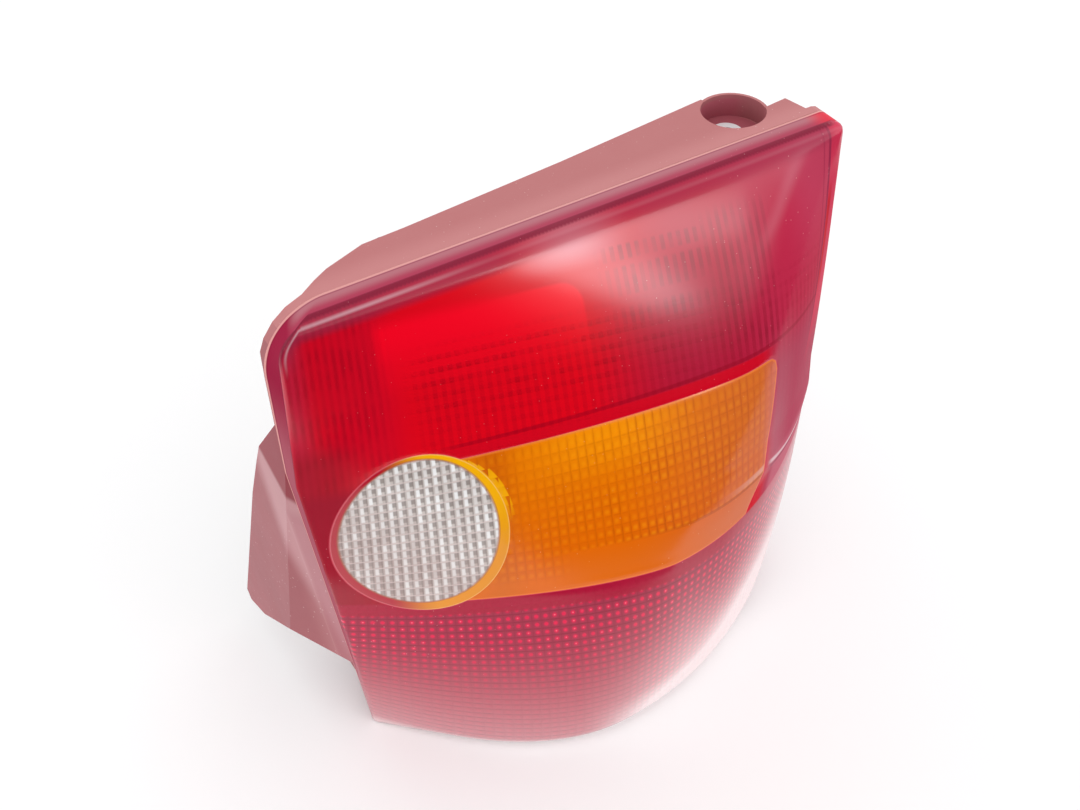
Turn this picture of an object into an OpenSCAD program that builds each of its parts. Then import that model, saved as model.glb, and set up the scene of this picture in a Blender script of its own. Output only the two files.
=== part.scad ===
// Right-hand rear lamp of a hatchback: a deep three-colour lens on a moulded housing,
// with a clip-in bulb carrier behind it.
// x runs outboard, y runs into the car and z runs up. The joint between lens and housing is a plane.

/* [Lens outline] */
// Width of the lens at the joint
lens_w = 260; // [250:1:275]
// Height of the lens
lens_h = 258; // [252:1:266]
// How much the outboard end of the top edge stands above the inboard end
top_rise = 3.5; // [0:0.5:6]
// Height at which the inboard edge starts to lean outboard
kink_h = 179; // [170:1:186]
// How far the inboard edge has leaned at the bottom
lean_w = 24; // [14:1:30]
// Radius of the upper inboard corner at the front
corner_in_r = 14; // [10:1:18]
// Radius of that corner at the joint
corner_joint_r = 28; // [20:1:32]
// How far the joint flares out at the upper end of the inboard edge
flare_w = 3; // [0:0.5:4]
// Radius of the upper outboard corner
corner_out_r = 5; // [3:1:8]
// Radius of the lower outboard corner
corner_low_r = 75; // [60:1:85]

/* [Lens crown] */
// Depth of the rim along the top and the outboard side
rim_depth = 14; // [12:0.5:17]
// Depth of the rim at the foot of the inboard edge
foot_depth = 2; // [1:0.5:4]
// Crown depth at the upper seam
crown_upper = 49; // [44:1:53]
// Crown depth at the lower seam
crown_waist = 66; // [60:1:70]
// Crown depth at the bottom edge
crown_lower = 68; // [60:1:72]
// Height of the fullest level of the crown
waist_h = 96; // [90:1:102]
// Radius that rolls the crown under at the bottom
roll_r = 12; // [8:1:16]
// Radius along the top edge
top_r = 5; // [2:0.5:6]
// Height of the crease that runs out of the amber window
crease_h = 120.5; // [112:1:128]
// Height of the ridge along the crease
crease_rise = 1.5; // [0.5:0.1:2.5]
// Thickness of the lens
lens_t = 3; // [2.4:0.1:3.6]

/* [Windows] */
// Height of the amber window's lower seam as a share of the lens height
amber_low_share = 0.3895; // [0.365:0.0005:0.41]
// Height of its upper seam as a share of the lens height
amber_high_share = 0.692; // [0.67:0.0005:0.71]
// Distance from the outboard side to the top of the amber window's end
amber_gap_top = 52; // [46:1:60]
// Distance from the outboard side to the foot of the amber window's end
amber_gap_low = 69; // [62:1:76]
// Place of the clear insert across the lens
clear_x = 44; // [42:0.5:48]
// How far the clear insert's middle lies above the middle of the amber window
clear_rise = 1; // [-2:0.5:4]
// Half width of the clear insert's lip, seen along the lamp
clear_rx = 34.5; // [32:0.5:36]
// Half height of the clear insert's lip
clear_rz = 44.5; // [41:0.5:46]
// Width of the lip around the clear insert
lip_w = 3.2; // [2.4:0.1:4]
// Thickness of that lip
lip_t = 1.2; // [0.8:0.1:1.6]
// Gap around each insert
seam = 0.1; // [0.05:0.05:0.2]

/* [Optics] */
// Column pitch of the clear pillows
clear_px = 3.3; // [3:0.1:4.5]
// Row pitch of the clear pillows
clear_pz = 4.8; // [4:0.1:6]
// Column pitch of the amber pillows
amber_px = 5.6; // [4.5:0.1:8]
// Row pitch of the amber pillows
amber_pz = 6; // [5:0.1:8]
// Column pitch of the red optics
red_px = 6.6; // [5.5:0.1:9]
// Row pitch of the lower red dots
dot_pz = 6.4; // [5.5:0.1:9]
// Row pitch of the upper red flutes
flute_pz = 13; // [9:1:20]
// Height of the pillows
pillow_h = 0.7; // [0.3:0.1:1]
// Plain border around the red optics
border_w = 9; // [6:1:12]

/* [Joint] */
// Thickness of the lens wall along the joint
rim_wall = 3.8; // [3.6:0.1:4.5]
// Width of the tongue on the back of the rim
tongue_w = 1.4; // [1.2:0.1:1.6]
// Height of the tongue
tongue_h = 2.6; // [2:0.1:3]
// Side gap between tongue and groove
tongue_gap = 0.3; // [0.2:0.05:0.4]
// Wall outside the groove
groove_in = 1.7; // [1.4:0.1:1.8]
// Depth of sealing bead under the tongue
bead_t = 1.1; // [0.8:0.1:1.4]

/* [Housing] */
// Width of the flange that carries the groove
flange_w = 8; // [7:0.5:10]
// Thickness of the flange
flange_t = 6; // [5.5:0.5:8]
// Step around the back of the flange
flange_step = 1.6; // [1:0.1:2]
// Wall of the skirt, the body and the bucket
wall = 2.6; // [2:0.1:3]
// Distance from the joint to the back of the body
body_depth = 33; // [31:1:35]
// Inset of the body behind the skirt
body_inset = 14; // [12:0.5:16]
// Depth of the skirt at the inboard end of the top
skirt_in = 20; // [16:1:22]
// Depth of the skirt at the outboard end of the top
skirt_out = 34; // [30:1:36]
// Depth of the skirt along the outboard side
skirt_side = 20; // [14:1:24]
// Depth of the skirt along the bottom
skirt_low = 14; // [10:1:20]
// Distance from the joint to the rim of the bucket
bucket_depth = 50; // [47:1:54]

/* [Wing] */
// How far the wing reaches behind the joint
wing_depth = 87; // [80:1:92]
// Height of the wing's upper corner at the joint
wing_top = 205; // [196:1:212]
// Height of the wing's rear foot
wing_foot = 22; // [18:1:30]
// Height at which the wing's lower edge meets the lens
wing_toe = 47; // [42:1:52]
// Thickness of the wing
wing_t = 2.4; // [2:0.1:3]

/* [Top fixing] */
// Distance from the outboard side to the axis of the fixing
fixing_gap = 37; // [34:0.5:39]
// Distance from the joint to the axis of the fixing
fixing_y = 19.5; // [19:0.5:21]
// How far the pocket's middle lies outboard of the fixing
pocket_shift = 2.5; // [0:0.5:4]
// Radius of the pocket
pocket_r = 14; // [12:0.5:14.5]
// Wall around the pocket
pocket_wall = 1.4; // [1.2:0.1:2.5]
// Depth of the pocket
pocket_depth = 10.4; // [8:0.2:12]
// Thickness of the pocket's floor
pocket_floor = 6; // [4:0.5:8]
// Outer radius of the steel bush's flange
bush_flange_r = 6.8; // [6:0.1:7.5]
// Thickness of that flange
bush_flange_t = 1.6; // [1.2:0.1:2.4]
// Outer radius of the bush below its flange
bush_r = 5; // [4.6:0.1:5.4]
// Radius of the hole through the bush
bush_hole_r = 3.3; // [3.1:0.1:3.6]

/* [Rear fixings] */
// Radius of the studs
stud_r = 3; // [2.5:0.25:3.25]
// Radius of a stud's root in its boss
stud_root_r = 3.8; // [3.5:0.1:4.5]
// Length of each stud outside its boss
stud_out = 18; // [14:1:24]
// Length of each stud inside its boss
stud_in = 10; // [8:1:12]
// Radius of a stud's boss
boss_r = 7; // [6:0.5:7.5]
// Height of a stud's boss behind the body
boss_h = 9; // [6:1:12]
// Radius of the locating peg
peg_r = 4; // [3:0.5:5]
// Length of the locating peg
peg_h = 12; // [8:1:16]

/* [Bulb carrier] */
// Inboard side of the bucket
bucket_x = 40; // [39:0.5:43]
// Distance from the bucket to the outboard side of the lens
bucket_side = 68; // [64:1:72]
// Lower side of the bucket
bucket_z = 36; // [32:1:40]
// Distance from the bucket to the top of the lens
bucket_drop = 34; // [32:1:38]
// Bevel of the bucket's upper inboard corner
bucket_bevel = 32; // [28:1:36]
// Corner radius of the bucket
bucket_r = 8; // [5:0.5:12]
// Width of the rim that the gasket lies on
bucket_rim = 6; // [5:0.5:7]
// Width of the carrier's latches
latch_w = 12; // [8:1:16]
// Thickness of the latches
latch_t = 2; // [1.6:0.1:2.4]
// Thickness of the carrier's gasket
gasket_t = 1.2; // [0.8:0.1:2]
// Width of that gasket
gasket_w = 4; // [3:0.5:4.5]
// Thickness of the carrier's plate
plate_t = 3; // [2.5:0.1:4]
// Thickness of the foam gasket between lamp and car
foam_t = 5; // [3:0.5:8]
// Width of the foam gasket
foam_w = 6.5; // [5:0.5:7]
// Thickness of the contact strips
strip_t = 0.8; // [0.6:0.1:1.2]
// Width of the contact strips
strip_w = 3.4; // [2.6:0.1:3.8]
// Radius of the contact posts
post_r = 1.3; // [1:0.1:1.6]

/* [Bulbs] */
// Radius of a bulb's glass
glass_r = 12.5; // [11:0.25:13]
// Radius of a bulb's base
base_r = 7.5; // [7:0.25:8]
// Length of a bulb's base
base_h = 17; // [15:0.5:19]
// Whole length of a bulb
bulb_h = 50; // [46:0.5:52]
// Gap between a bulb's base and its socket
socket_gap = 0.2; // [0.1:0.05:0.4]
// Wall of the bulb sockets
socket_wall = 1.8; // [1.4:0.1:2.4]
// Length of the bulb sockets in front of the plate
socket_h = 16; // [13:0.5:18]

/* [Reflector] */
// Thickness of the reflector
reflector_t = 1.8; // [1.4:0.1:2.2]
// Distance from the joint to the back of the reflector's plate
reflector_y = 6; // [5:0.5:8]
// Depth of each bowl
bowl_depth = 20; // [16:0.5:21]
// Radius of the hole around each bulb
bowl_hole_r = 13.5; // [13.5:0.25:15]
// Radius of the bowls behind the upper and the lower red, and the amber
bowl_r = 29.5; // [26:0.5:29.5]
// Radius of the bowl behind the clear insert
clear_bowl_r = 28; // [25:0.5:30]
// Clearance between the dividers and the lens
divider_gap = 3.5; // [2:0.5:6]

/* [Connector] */
// Width inside the connector's shroud
shroud_w = 38; // [36:1:44]
// Height inside the shroud
shroud_h = 13; // [10:0.5:16]
// Length of the shroud
shroud_l = 16; // [12:1:20]
// Wall of the shroud
shroud_t = 1.8; // [1.4:0.1:2.4]
// Distance between pins
pin_pitch = 6; // [5.5:0.1:6.5]
// Width of a pin
pin_w = 2.4; // [1.6:0.1:2.8]
// Length of a pin
pin_l = 12; // [8:0.5:14]

/* [Hidden] */
far = 120;
tiny = 0.01;
fit_gap = 0.2;
amber_low = lens_h * amber_low_share;
amber_high = lens_h * amber_high_share;
clear_h = (amber_low + amber_high) / 2 + clear_rise;
bucket_w = lens_w - bucket_x - bucket_side;
bucket_h = lens_h - bucket_z - bucket_drop;
fixing_x = lens_w - fixing_gap;
pocket_x = fixing_x + pocket_shift;
pocket_top = lens_h + 0.8;
floor_z = pocket_top - pocket_depth;
glass_neck_r = base_r - 0.8;
bulb_hole_r = base_r + socket_gap;
inner_rx = clear_rx - lip_w;
inner_rz = clear_rz - lip_w;
groove_w = tongue_w + 2 * tongue_gap;
groove_depth = tongue_h + 0.1 + bead_t;
plate_y = bucket_depth + gasket_t;
strip_y = plate_y + plate_t;
bulb_foot_y = plate_y - 0.4;
body_in = 26;
latch_y = bucket_depth - wall - fit_gap;
pin_count = 6;
vent_r = 3.5;
shroud_x = bucket_x + bucket_w - 30;
shroud_z = bucket_z + 24;
// Places of the bulbs: a share of the bucket's width across, and a height
function in_bucket(share, h) = [bucket_x + bucket_w * share, h];
stop_at = in_bucket(0.34, lens_h - bucket_drop - 13.5);
turn_at = in_bucket(0.66, clear_h);
reverse_at = [bucket_x + 22, clear_h];
fog_at = in_bucket(0.46, bucket_z + 28);
bulbs_at = [stop_at, turn_at, reverse_at, fog_at];
studs_at = [[lens_w - 30, bucket_z + 48], [bucket_x + 30, bucket_z - 18]];
peg_at = [lens_w - 34, lens_h - 98];
vent_at = [lens_w - bucket_side + 18, lens_h - 54];
// Heights of the inboard and the outboard ribs, places of the upper and the lower ones
ribs_in = [70, waist_h + 14, lens_h - 108];
ribs_out = [110, 190];
ribs_up = [95, 150];
ribs_low = [90, 150];
// Corners of the wing, each as in and up
wing_corners = [
    [0, kink_h],
    [0, wing_top],
    [28, wing_top - 35.5],
    [34, wing_top - 48],
    [48, wing_top - 79],
    [wing_depth, wing_foot + 2],
    [wing_depth - 4, wing_foot - 2],
    [wing_depth - 22, wing_foot + 5],
    [28, wing_toe + 6.5]
];
// Contacts at the bulbs' feet; the stop and tail bulb has two
stop_contact = stop_at + [3, 0];
tail_contact = stop_at - [3, 0];
turn_contact = turn_at;
reverse_contact = reverse_at;
fog_contact = fog_at;
contacts_at = [stop_contact, tail_contact, turn_contact, reverse_contact, fog_contact];
tab_h = 8;
// Heights of the strips' cross runs, as shares of the way between two rows of bulbs
function low_run(share) = fog_at[1] + (clear_h - fog_at[1]) * share;
function high_run(share) = clear_h + (stop_at[1] - clear_h) * share;
function tab(at) = [at[0] - base_r - strip_w / 2, at[1]];
function pin_x(i) = shroud_x + (i - (pin_count - 1) / 2) * pin_pitch;

// Lens form
// Each row is a level: height, inboard depth, crown depth, crown place, fullness, outboard depth
levels = [
    [lens_h, rim_depth, rim_depth, lens_w - 60, 1.7, rim_depth],
    [kink_h, rim_depth - 2, crown_upper, lens_w - 75, 1.6, rim_depth],
    [waist_h, 8, crown_waist, lens_w - 115, 1.45, rim_depth - 1],
    [0, foot_depth, crown_lower, lens_w - 135, 2.1, rim_depth - 8]
];
function product(v, i = 0) = i == len(v) ? 1 : v[i] * product(v, i + 1);
function total(v, i = 0) = i == len(v) ? 0 : v[i] + total(v, i + 1);
function weight(h, i) =
    product([for (j = [0 : 3]) if (j != i) (h - levels[j][0]) / (levels[i][0] - levels[j][0])]);
function at_level(h, k) = total([for (i = [0 : 3]) weight(h, i) * levels[i][k]]);
// How far an arc of radius r has dropped at distance d from its edge
function arc_drop(d, r) = d >= r ? 0 : r - sqrt(max(0, r * r - pow(r - max(d, 0), 2)));
function lean_x(h) = h < kink_h ? lean_w * (kink_h - h) / kink_h : 0;
function flare_x(h) = h < kink_h ? 0 : flare_w * (h - kink_h) / (lens_h - kink_h);
function inboard_x(h) = lean_x(h) + arc_drop(lens_h - h, corner_in_r);
function joint_x(h) = lean_x(h) - flare_x(h) + arc_drop(lens_h - h, corner_joint_r);
function outboard_x(h) =
    lens_w - arc_drop(h, corner_low_r) - arc_drop(lens_h - h, corner_out_r);
// The top edge rises outboard, so a height is stretched by its place across the lens
function up(x, h) = h * (1 + (x / lens_w - 0.5) * top_rise / lens_h);
function inboard_side(x, h, low, high, place, full) =
    high - (high - low) * pow(max(0, (place - x) / (place - inboard_x(h))), full);
function outboard_side(x, low, high, place) =
    high - (high - low) * pow((x - place) / (lens_w - place), 2);
function dome(x, h) =
    x < at_level(h, 3)
    ? inboard_side(x, h, at_level(h, 1), at_level(h, 2), at_level(h, 3), at_level(h, 4))
    : outboard_side(x, at_level(h, 5), at_level(h, 2), at_level(h, 3));
function ridge(x, h) =
    crease_rise * max(0, 1 - abs(h - crease_h) / 16) * min(1, max(0, (x - 90) / 110));
function rolled(f, h) = f - arc_drop(h, roll_r) * min(1, max(0, f) / 30);
function crown(x, h) = rolled(dome(x, h), h) + ridge(x, h);
function edge_drop(x, h) =
    max(arc_drop(lens_h - h, top_r), arc_drop(outboard_x(h) - x, 4), arc_drop(x - inboard_x(h), 1.2));

// Grid lines of the outer surface, closer together where it curves
rows = concat([for (a = [0 : 22.5 : 68]) roll_r * (1 - cos(a))],
              [for (i = [0 : 21]) roll_r + (lens_h - corner_joint_r - roll_r) * i / 21],
              [for (a = [15, 30, 45, 58, 70, 80, 90]) lens_h - corner_joint_r * (1 - sin(a))]);
cols = concat([0, 0.4 / lens_w, 1.2 / lens_w], [for (i = [1 : 25]) i / 26],
              [1 - 4 / lens_w, 1 - 1.2 / lens_w, 1]);
function skin_point(u, h, drop) =
    let (x = inboard_x(h) + (outboard_x(h) - inboard_x(h)) * u)
    [x, -max(crown(x, h) - edge_drop(x, h) - drop, 0.2), up(x, h)];
function joint_point(u, h) =
    let (x = joint_x(h) + (outboard_x(h) - joint_x(h)) * u)
    [x, 0, up(x, h)];

// Solid between the joint plane and the lens surface, set back by a drop
module skin_block(drop) {
    nx = len(cols);
    nz = len(rows);
    front = [for (h = rows) for (u = cols) skin_point(u, h, drop)];
    joint = [for (h = rows) for (u = cols) joint_point(u, h)];
    ring = concat([for (i = [0 : nx - 2]) i],
                  [for (j = [0 : nz - 2]) j * nx + nx - 1],
                  [for (i = [nx - 1 : -1 : 1]) (nz - 1) * nx + i],
                  [for (j = [nz - 1 : -1 : 1]) j * nx]);
    n = len(ring);
    base = nx * nz;
    back = [for (k = ring) joint[k]];
    skin_faces = [for (j = [0 : nz - 2]) for (i = [0 : nx - 2]) for (half = [0, 1])
        let (a = j * nx + i, b = a + nx) half == 0 ? [a, b, b + 1] : [a, b + 1, a + 1]];
    wall_faces = [for (k = [0 : n - 1]) let (m = (k + 1) % n) for (half = [0, 1])
        half == 0 ? [ring[k], ring[m], base + m] : [ring[k], base + m, base + k]];
    back_face = [for (k = [0 : n - 1]) base + k];
    polyhedron(concat(front, back), concat(skin_faces, wall_faces, [back_face]));
}

// Hollow behind a lens, with a pillow standing in each cell of the grid
module optic_block(xs, hs, heights) {
    nx = len(xs);
    nz = len(hs);
    corners = [for (h = hs) for (x = xs) [x, lens_t - crown(x, h), up(x, h)]];
    peaks = [for (j = [0 : nz - 2]) for (i = [0 : nx - 2])
        let (x = (xs[i] + xs[i + 1]) / 2, h = (hs[j] + hs[j + 1]) / 2)
        [x, lens_t - crown(x, h) + heights[j] * (i == 0 || i == nx - 2 ? 0 : 1), up(x, h)]];
    base = nx * nz;
    last = base + (nx - 1) * (nz - 1);
    ends = [corners[0], corners[nx - 1], corners[base - 1], corners[base - nx]];
    back = [for (p = ends) [p[0], 6, p[2]]];
    cell_faces = [for (j = [0 : nz - 2]) for (i = [0 : nx - 2]) for (side = [0 : 3])
        let (a = j * nx + i, loop = [a, a + nx, a + nx + 1, a + 1])
        [loop[side], loop[(side + 1) % 4], base + j * (nx - 1) + i]];
    sides = [
        concat([for (i = [0 : nx - 1]) i], [last + 1, last]),
        concat([for (j = [0 : nz - 1]) j * nx + nx - 1], [last + 2, last + 1]),
        concat([for (i = [nx - 1 : -1 : 0]) (nz - 1) * nx + i], [last + 3, last + 2]),
        concat([for (j = [nz - 1 : -1 : 0]) j * nx], [last, last + 3]),
        [last, last + 1, last + 2, last + 3]
    ];
    polyhedron(concat(corners, peaks, back), concat(cell_faces, sides));
}

// Even steps from a to b, as close to the pitch as they come
function steps(a, b, pitch) =
    let (n = max(1, round((b - a) / pitch))) [for (i = [0 : n]) a + (b - a) * i / n];

// Shapes seen along the lamp, drawn across and up
function outline() = concat(
    [for (h = [0, kink_h / 2, kink_h]) [joint_x(h), up(0, h)]],
    [for (a = [0 : 15 : 90])
        let (h = lens_h - corner_joint_r * (1 - sin(a))) [joint_x(h), up(joint_x(h), h)]],
    [for (a = [90 : -30 : 0])
        [lens_w - corner_out_r * (1 - cos(a)), up(lens_w, lens_h - corner_out_r * (1 - sin(a)))]],
    [for (a = [0 : 10 : 90]) [lens_w - corner_low_r * (1 - cos(a)), corner_low_r * (1 - sin(a))]]);
module outline_2d(inset = 0) {
    if (inset == 0) polygon(outline());
    else offset(delta = -inset) polygon(outline());
}
module ring_2d(outer, inner) {
    difference() {
        outline_2d(outer);
        outline_2d(inner);
    }
}
module ellipse_2d(rx, rz, grow = 0) {
    polygon([for (a = [0 : 9 : 351]) [clear_x + (rx + grow) * cos(a), clear_h + (rz + grow) * sin(a)]]);
}
module amber_2d(grow = 0) {
    end_top = lens_w - amber_gap_top;
    end_low = lens_w - amber_gap_low;
    rise = amber_high - amber_low;
    polygon([
        [clear_x + 3 - grow, amber_high + grow],
        [end_top - 6, amber_high + grow],
        [end_top - 1.5, amber_high - 2 + grow],
        [end_top + grow, amber_high - 7],
        [end_top - 4 + grow, amber_low + rise * 0.525],
        [end_top - 7.5 + grow, amber_low + rise * 0.256],
        [end_low + grow, amber_low - grow],
        [clear_x + 14 - grow, amber_low - grow]
    ]);
}
module bucket_2d(grow = 0) {
    offset(r = bucket_r) offset(delta = grow - bucket_r) polygon([
        [bucket_x, bucket_z],
        [bucket_x, bucket_z + bucket_h - bucket_bevel],
        [bucket_x + bucket_bevel, bucket_z + bucket_h],
        [bucket_x + bucket_w, bucket_z + bucket_h],
        [bucket_x + bucket_w, bucket_z]
    ]);
}

// A shape drawn across and up, made deep from y0 to y1
module in_depth(y0, y1) {
    translate([0, y1, 0]) rotate([90, 0, 0]) linear_extrude(y1 - y0) children();
}
module rod(at, y0, y1, r) {
    translate([at[0], y1, at[1]]) rotate([90, 0, 0]) cylinder(h = y1 - y0, r = r, $fn = 48);
}
// The whole lamp is set on the axis and seat of its top fixing
module placed() {
    translate([-fixing_x, -fixing_y, -floor_z - bush_flange_t]) children();
}
// A low upstand that follows the back of the lens through the points
module upstand(points, width, height) {
    for (i = [0 : len(points) - 2]) {
        hull() {
            upstand_post(points[i], width, height);
            upstand_post(points[i + 1], width, height);
        }
    }
}
module upstand_post(p, width, height) {
    y = lens_t - crown(p[0], p[1]);
    translate([p[0] - width / 2, y - 1, up(p[0], p[1]) - width / 2]) cube([width, height + 1, width]);
}

// Lens pieces
module clear_rebate() {
    intersection() {
        difference() {
            translate([0, -1, 0]) skin_block(-1);
            skin_block(lip_t + seam);
        }
        in_depth(-far, -tiny) ellipse_2d(clear_rx, clear_rz, seam);
    }
    in_depth(-far, 1) ellipse_2d(inner_rx, inner_rz, seam);
}
function inset_outline(d) = let (o = outline(), n = len(o)) [for (i = [0 : n])
    let (a = o[(i + n - 1) % n], b = o[i % n], c = o[(i + 1) % n],
         e = (b - a) / norm(b - a), f = (c - b) / norm(c - b),
         t = (e + f) / norm(e + f), side = [t[1], -t[0]])
    b + side * d / max(0.5, cross(t, [e[1], -e[0]]) * -1)];
module tongue() {
    path = inset_outline(groove_in + groove_w / 2);
    for (i = [0 : len(path) - 2]) {
        hull() {
            rod(path[i], -1, tongue_h, tongue_w / 2, $fn = 12);
            rod(path[i + 1], -1, tongue_h, tongue_w / 2, $fn = 12);
        }
    }
}
module lens_red() {
    xs = concat([0, border_w],
                steps(border_w + red_px, lens_w - 42, red_px),
                [lens_w - 26, lens_w - 12, lens_w]);
    low = steps(roll_r, amber_low - 2, dot_pz);
    high = steps(amber_high + 2, lens_h - 10, flute_pz);
    hs = concat([0, roll_r / 3], low, [crease_h, (crease_h + amber_high) / 2], high, [lens_h]);
    heights = concat([0, 0], [for (i = [1 : len(low) - 1]) pillow_h], [0, 0, 0],
                     [for (i = [1 : len(high) - 1]) pillow_h], [0]);
    color("crimson") placed() {
        difference() {
            skin_block(0);
            intersection() {
                in_depth(-far, 1) outline_2d(rim_wall);
                optic_block(xs, hs, heights);
            }
            in_depth(-far, 1) amber_2d(seam);
            clear_rebate();
        }
        tongue();
    }
}
module lens_amber() {
    end = lens_w - amber_gap_top + 2;
    xs = steps(clear_x, end, amber_px);
    low = steps(amber_low - 2, crease_h, 9);
    high = steps(crease_h, amber_high + 2, amber_pz);
    hs = concat(low, [for (i = [1 : len(high) - 1]) high[i]]);
    heights = concat([for (i = [1 : len(low) - 1]) 0], [for (i = [1 : len(high) - 1]) pillow_h]);
    rib = [for (x = steps(clear_x + 30, end - 16, 12)) [x, amber_high - 3]];
    color("darkorange") placed() {
        difference() {
            intersection() {
                skin_block(0);
                in_depth(-far, 0) amber_2d();
            }
            optic_block(xs, hs, heights);
            clear_rebate();
        }
        upstand(rib, 1.4, 2.2);
    }
}
module lens_clear() {
    xs = steps(clear_x - inner_rx - 1, clear_x + inner_rx + 1, clear_px);
    hs = steps(clear_h - inner_rz - 1, clear_h + inner_rz + 1, clear_pz);
    ring = [for (a = [0 : 15 : 360])
        [clear_x + (inner_rx - 1.2) * cos(a), clear_h + (inner_rz - 1.2) * sin(a)]];
    color("whitesmoke") placed() {
        difference() {
            intersection() {
                skin_block(0);
                in_depth(-far, 0) ellipse_2d(clear_rx, clear_rz);
            }
            intersection() {
                skin_block(lip_t);
                in_depth(-far, 1) difference() {
                    ellipse_2d(clear_rx, clear_rz, 2);
                    ellipse_2d(inner_rx, inner_rz);
                }
            }
            optic_block(xs, hs, [for (h = hs) pillow_h]);
        }
        upstand(ring, 1.2, 1.6);
    }
}
module seal_bead() {
    color("dimgray") placed()
        in_depth(groove_depth - bead_t, groove_depth) ring_2d(groove_in, groove_in + groove_w);
}

// Housing
// The skirt is deepest beside the pocket, and its rear inboard corner is cut away
module skirt_plan() {
    polygon([
        [0, 0],
        [9, 0.5],
        [13, 1.5],
        [32, skirt_in - 7.5],
        [50, skirt_in - 1],
        [69, skirt_in],
        [143, (skirt_in + skirt_out) / 2 - 1],
        [fixing_x - 4, skirt_out],
        [pocket_x, fixing_y],
        [pocket_x + pocket_r, fixing_y - 5],
        [lens_w - 10, fixing_y - 4],
        [lens_w - 7, 0.4],
        [lens_w + 5, 0.4],
        [lens_w + 5, 0]
    ]);
}
module skirt() {
    top_band = corner_joint_r;
    intersection() {
        in_depth(0, skirt_out + 4) ring_2d(0, wall);
        union() {
            translate([0, 0, lens_h - top_band]) linear_extrude(top_band + 10) skirt_plan();
            translate([lens_w - 30, 0, corner_low_r]) cube([60, skirt_side, lens_h - corner_low_r - 22]);
            translate([lean_w + 6, 0, -1]) cube([lens_w, skirt_low, corner_low_r + 1]);
        }
    }
}
// The inboard side of the flange slants, so that nothing shows beside the lens
module flange_bevel() {
    slant = [[-5, 0.6], [0, 0.6], [2.1, flange_t + 0.4], [2.1, flange_t + 2], [-5, flange_t + 2]];
    hull() {
        translate([lean_w, 0, -1]) linear_extrude(tiny) polygon(slant);
        translate([0, 0, kink_h]) linear_extrude(tiny) polygon(slant);
    }
    hull() {
        translate([0, 0, kink_h]) linear_extrude(tiny) polygon(slant);
        translate([-flare_w, 0, lens_h]) linear_extrude(tiny) polygon(slant);
    }
}
module flange() {
    difference() {
        union() {
            in_depth(0, flange_t - flange_step) ring_2d(0, flange_w);
            in_depth(0, flange_t) ring_2d(flange_step, flange_w);
        }
        flange_bevel();
    }
}
module body_2d(inset = 0) {
    offset(delta = -inset) polygon([
        [body_in, body_inset],
        [body_in, lens_h - body_inset - 40],
        [62, lens_h - body_inset],
        [lens_w - body_inset, lens_h - body_inset],
        [lens_w - body_inset, corner_low_r],
        [lens_w - corner_low_r * 0.75, body_inset]
    ]);
}
module wing() {
    hull() {
        for (c = wing_corners) translate([0, c[0], c[1]]) cube([wing_t, tiny, tiny]);
    }
}
// Web from the slanting edge of the lens to the wing
module wing_root() {
    heel = wing_corners[8];
    hull() {
        translate([inboard_x(wing_toe), 0.01, wing_toe]) cube([wing_t, 2, tiny]);
        translate([0, 0.01, kink_h]) cube([wing_t, 2, tiny]);
        translate([0, heel[0], heel[1]]) cube([wing_t, tiny, tiny]);
    }
}
module fixing_boss() {
    translate([pocket_x, fixing_y, floor_z - pocket_floor])
        cylinder(h = pocket_depth + pocket_floor, r = pocket_r + pocket_wall, $fn = 96);
}
module ribs() {
    deep = body_depth - 8;
    for (h = ribs_in) translate([inboard_x(h) + 1, 3, h]) cube([body_in - inboard_x(h), deep, wall]);
    for (h = ribs_out) translate([lens_w - body_inset - 1, 3, h]) cube([body_inset, skirt_side - 4, wall]);
    for (x = ribs_up) translate([x, 3, lens_h - body_inset - 1]) cube([wall, skirt_in - 4, body_inset - 1]);
    for (x = ribs_low) translate([x, 3, 1]) cube([wall, skirt_low - 3, body_inset]);
}
module housing() {
    color("rosybrown") placed() difference() {
        union() {
            flange();
            skirt();
            in_depth(flange_t - wall, body_depth) body_2d();
            in_depth(flange_t - wall, flange_t) ring_2d(flange_w - tiny, body_inset + 16);
            in_depth(body_depth - tiny, bucket_depth - wall) bucket_2d(wall);
            in_depth(bucket_depth - wall, bucket_depth) bucket_2d(bucket_rim);
            fixing_boss();
            wing();
            wing_root();
            ribs();
            for (at = studs_at) rod(at, body_depth - wall, body_depth + boss_h, boss_r);
            rod(peg_at, body_depth - tiny, body_depth + peg_h, peg_r);
            rod(vent_at, body_depth - tiny, body_depth + 8, vent_r);
        }
        in_depth(-1, groove_depth) ring_2d(groove_in, groove_in + groove_w);
        in_depth(-1, body_depth - wall) body_2d(wall);
        in_depth(body_depth - wall - 1, bucket_depth + 1) bucket_2d();
        translate([pocket_x, fixing_y, floor_z]) cylinder(h = far, r = pocket_r, $fn = 96);
        translate([fixing_x, fixing_y, 0]) cylinder(h = lens_h, r = bush_r, $fn = 64);
        for (at = studs_at) rod(at, body_depth + boss_h - stud_in, body_depth + boss_h + 1, stud_root_r);
        rod(vent_at, body_depth - wall - 1, body_depth + 9, vent_r - 1.5);
    }
}
module top_bush() {
    color("silver") placed() translate([fixing_x, fixing_y, floor_z]) difference() {
        union() {
            cylinder(h = bush_flange_t, r = bush_flange_r, $fn = 64);
            translate([0, 0, -pocket_floor]) cylinder(h = pocket_floor + tiny, r = bush_r, $fn = 64);
        }
        translate([0, 0, -pocket_floor - 1]) cylinder(h = far, r = bush_hole_r, $fn = 64);
    }
}
module mounting_studs() {
    face = body_depth + boss_h;
    color("silver") placed()
        for (at = studs_at) {
            rod(at, face - stud_in, face, stud_root_r);
            rod(at, face - tiny, face + stud_out, stud_r);
        }
}
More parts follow.
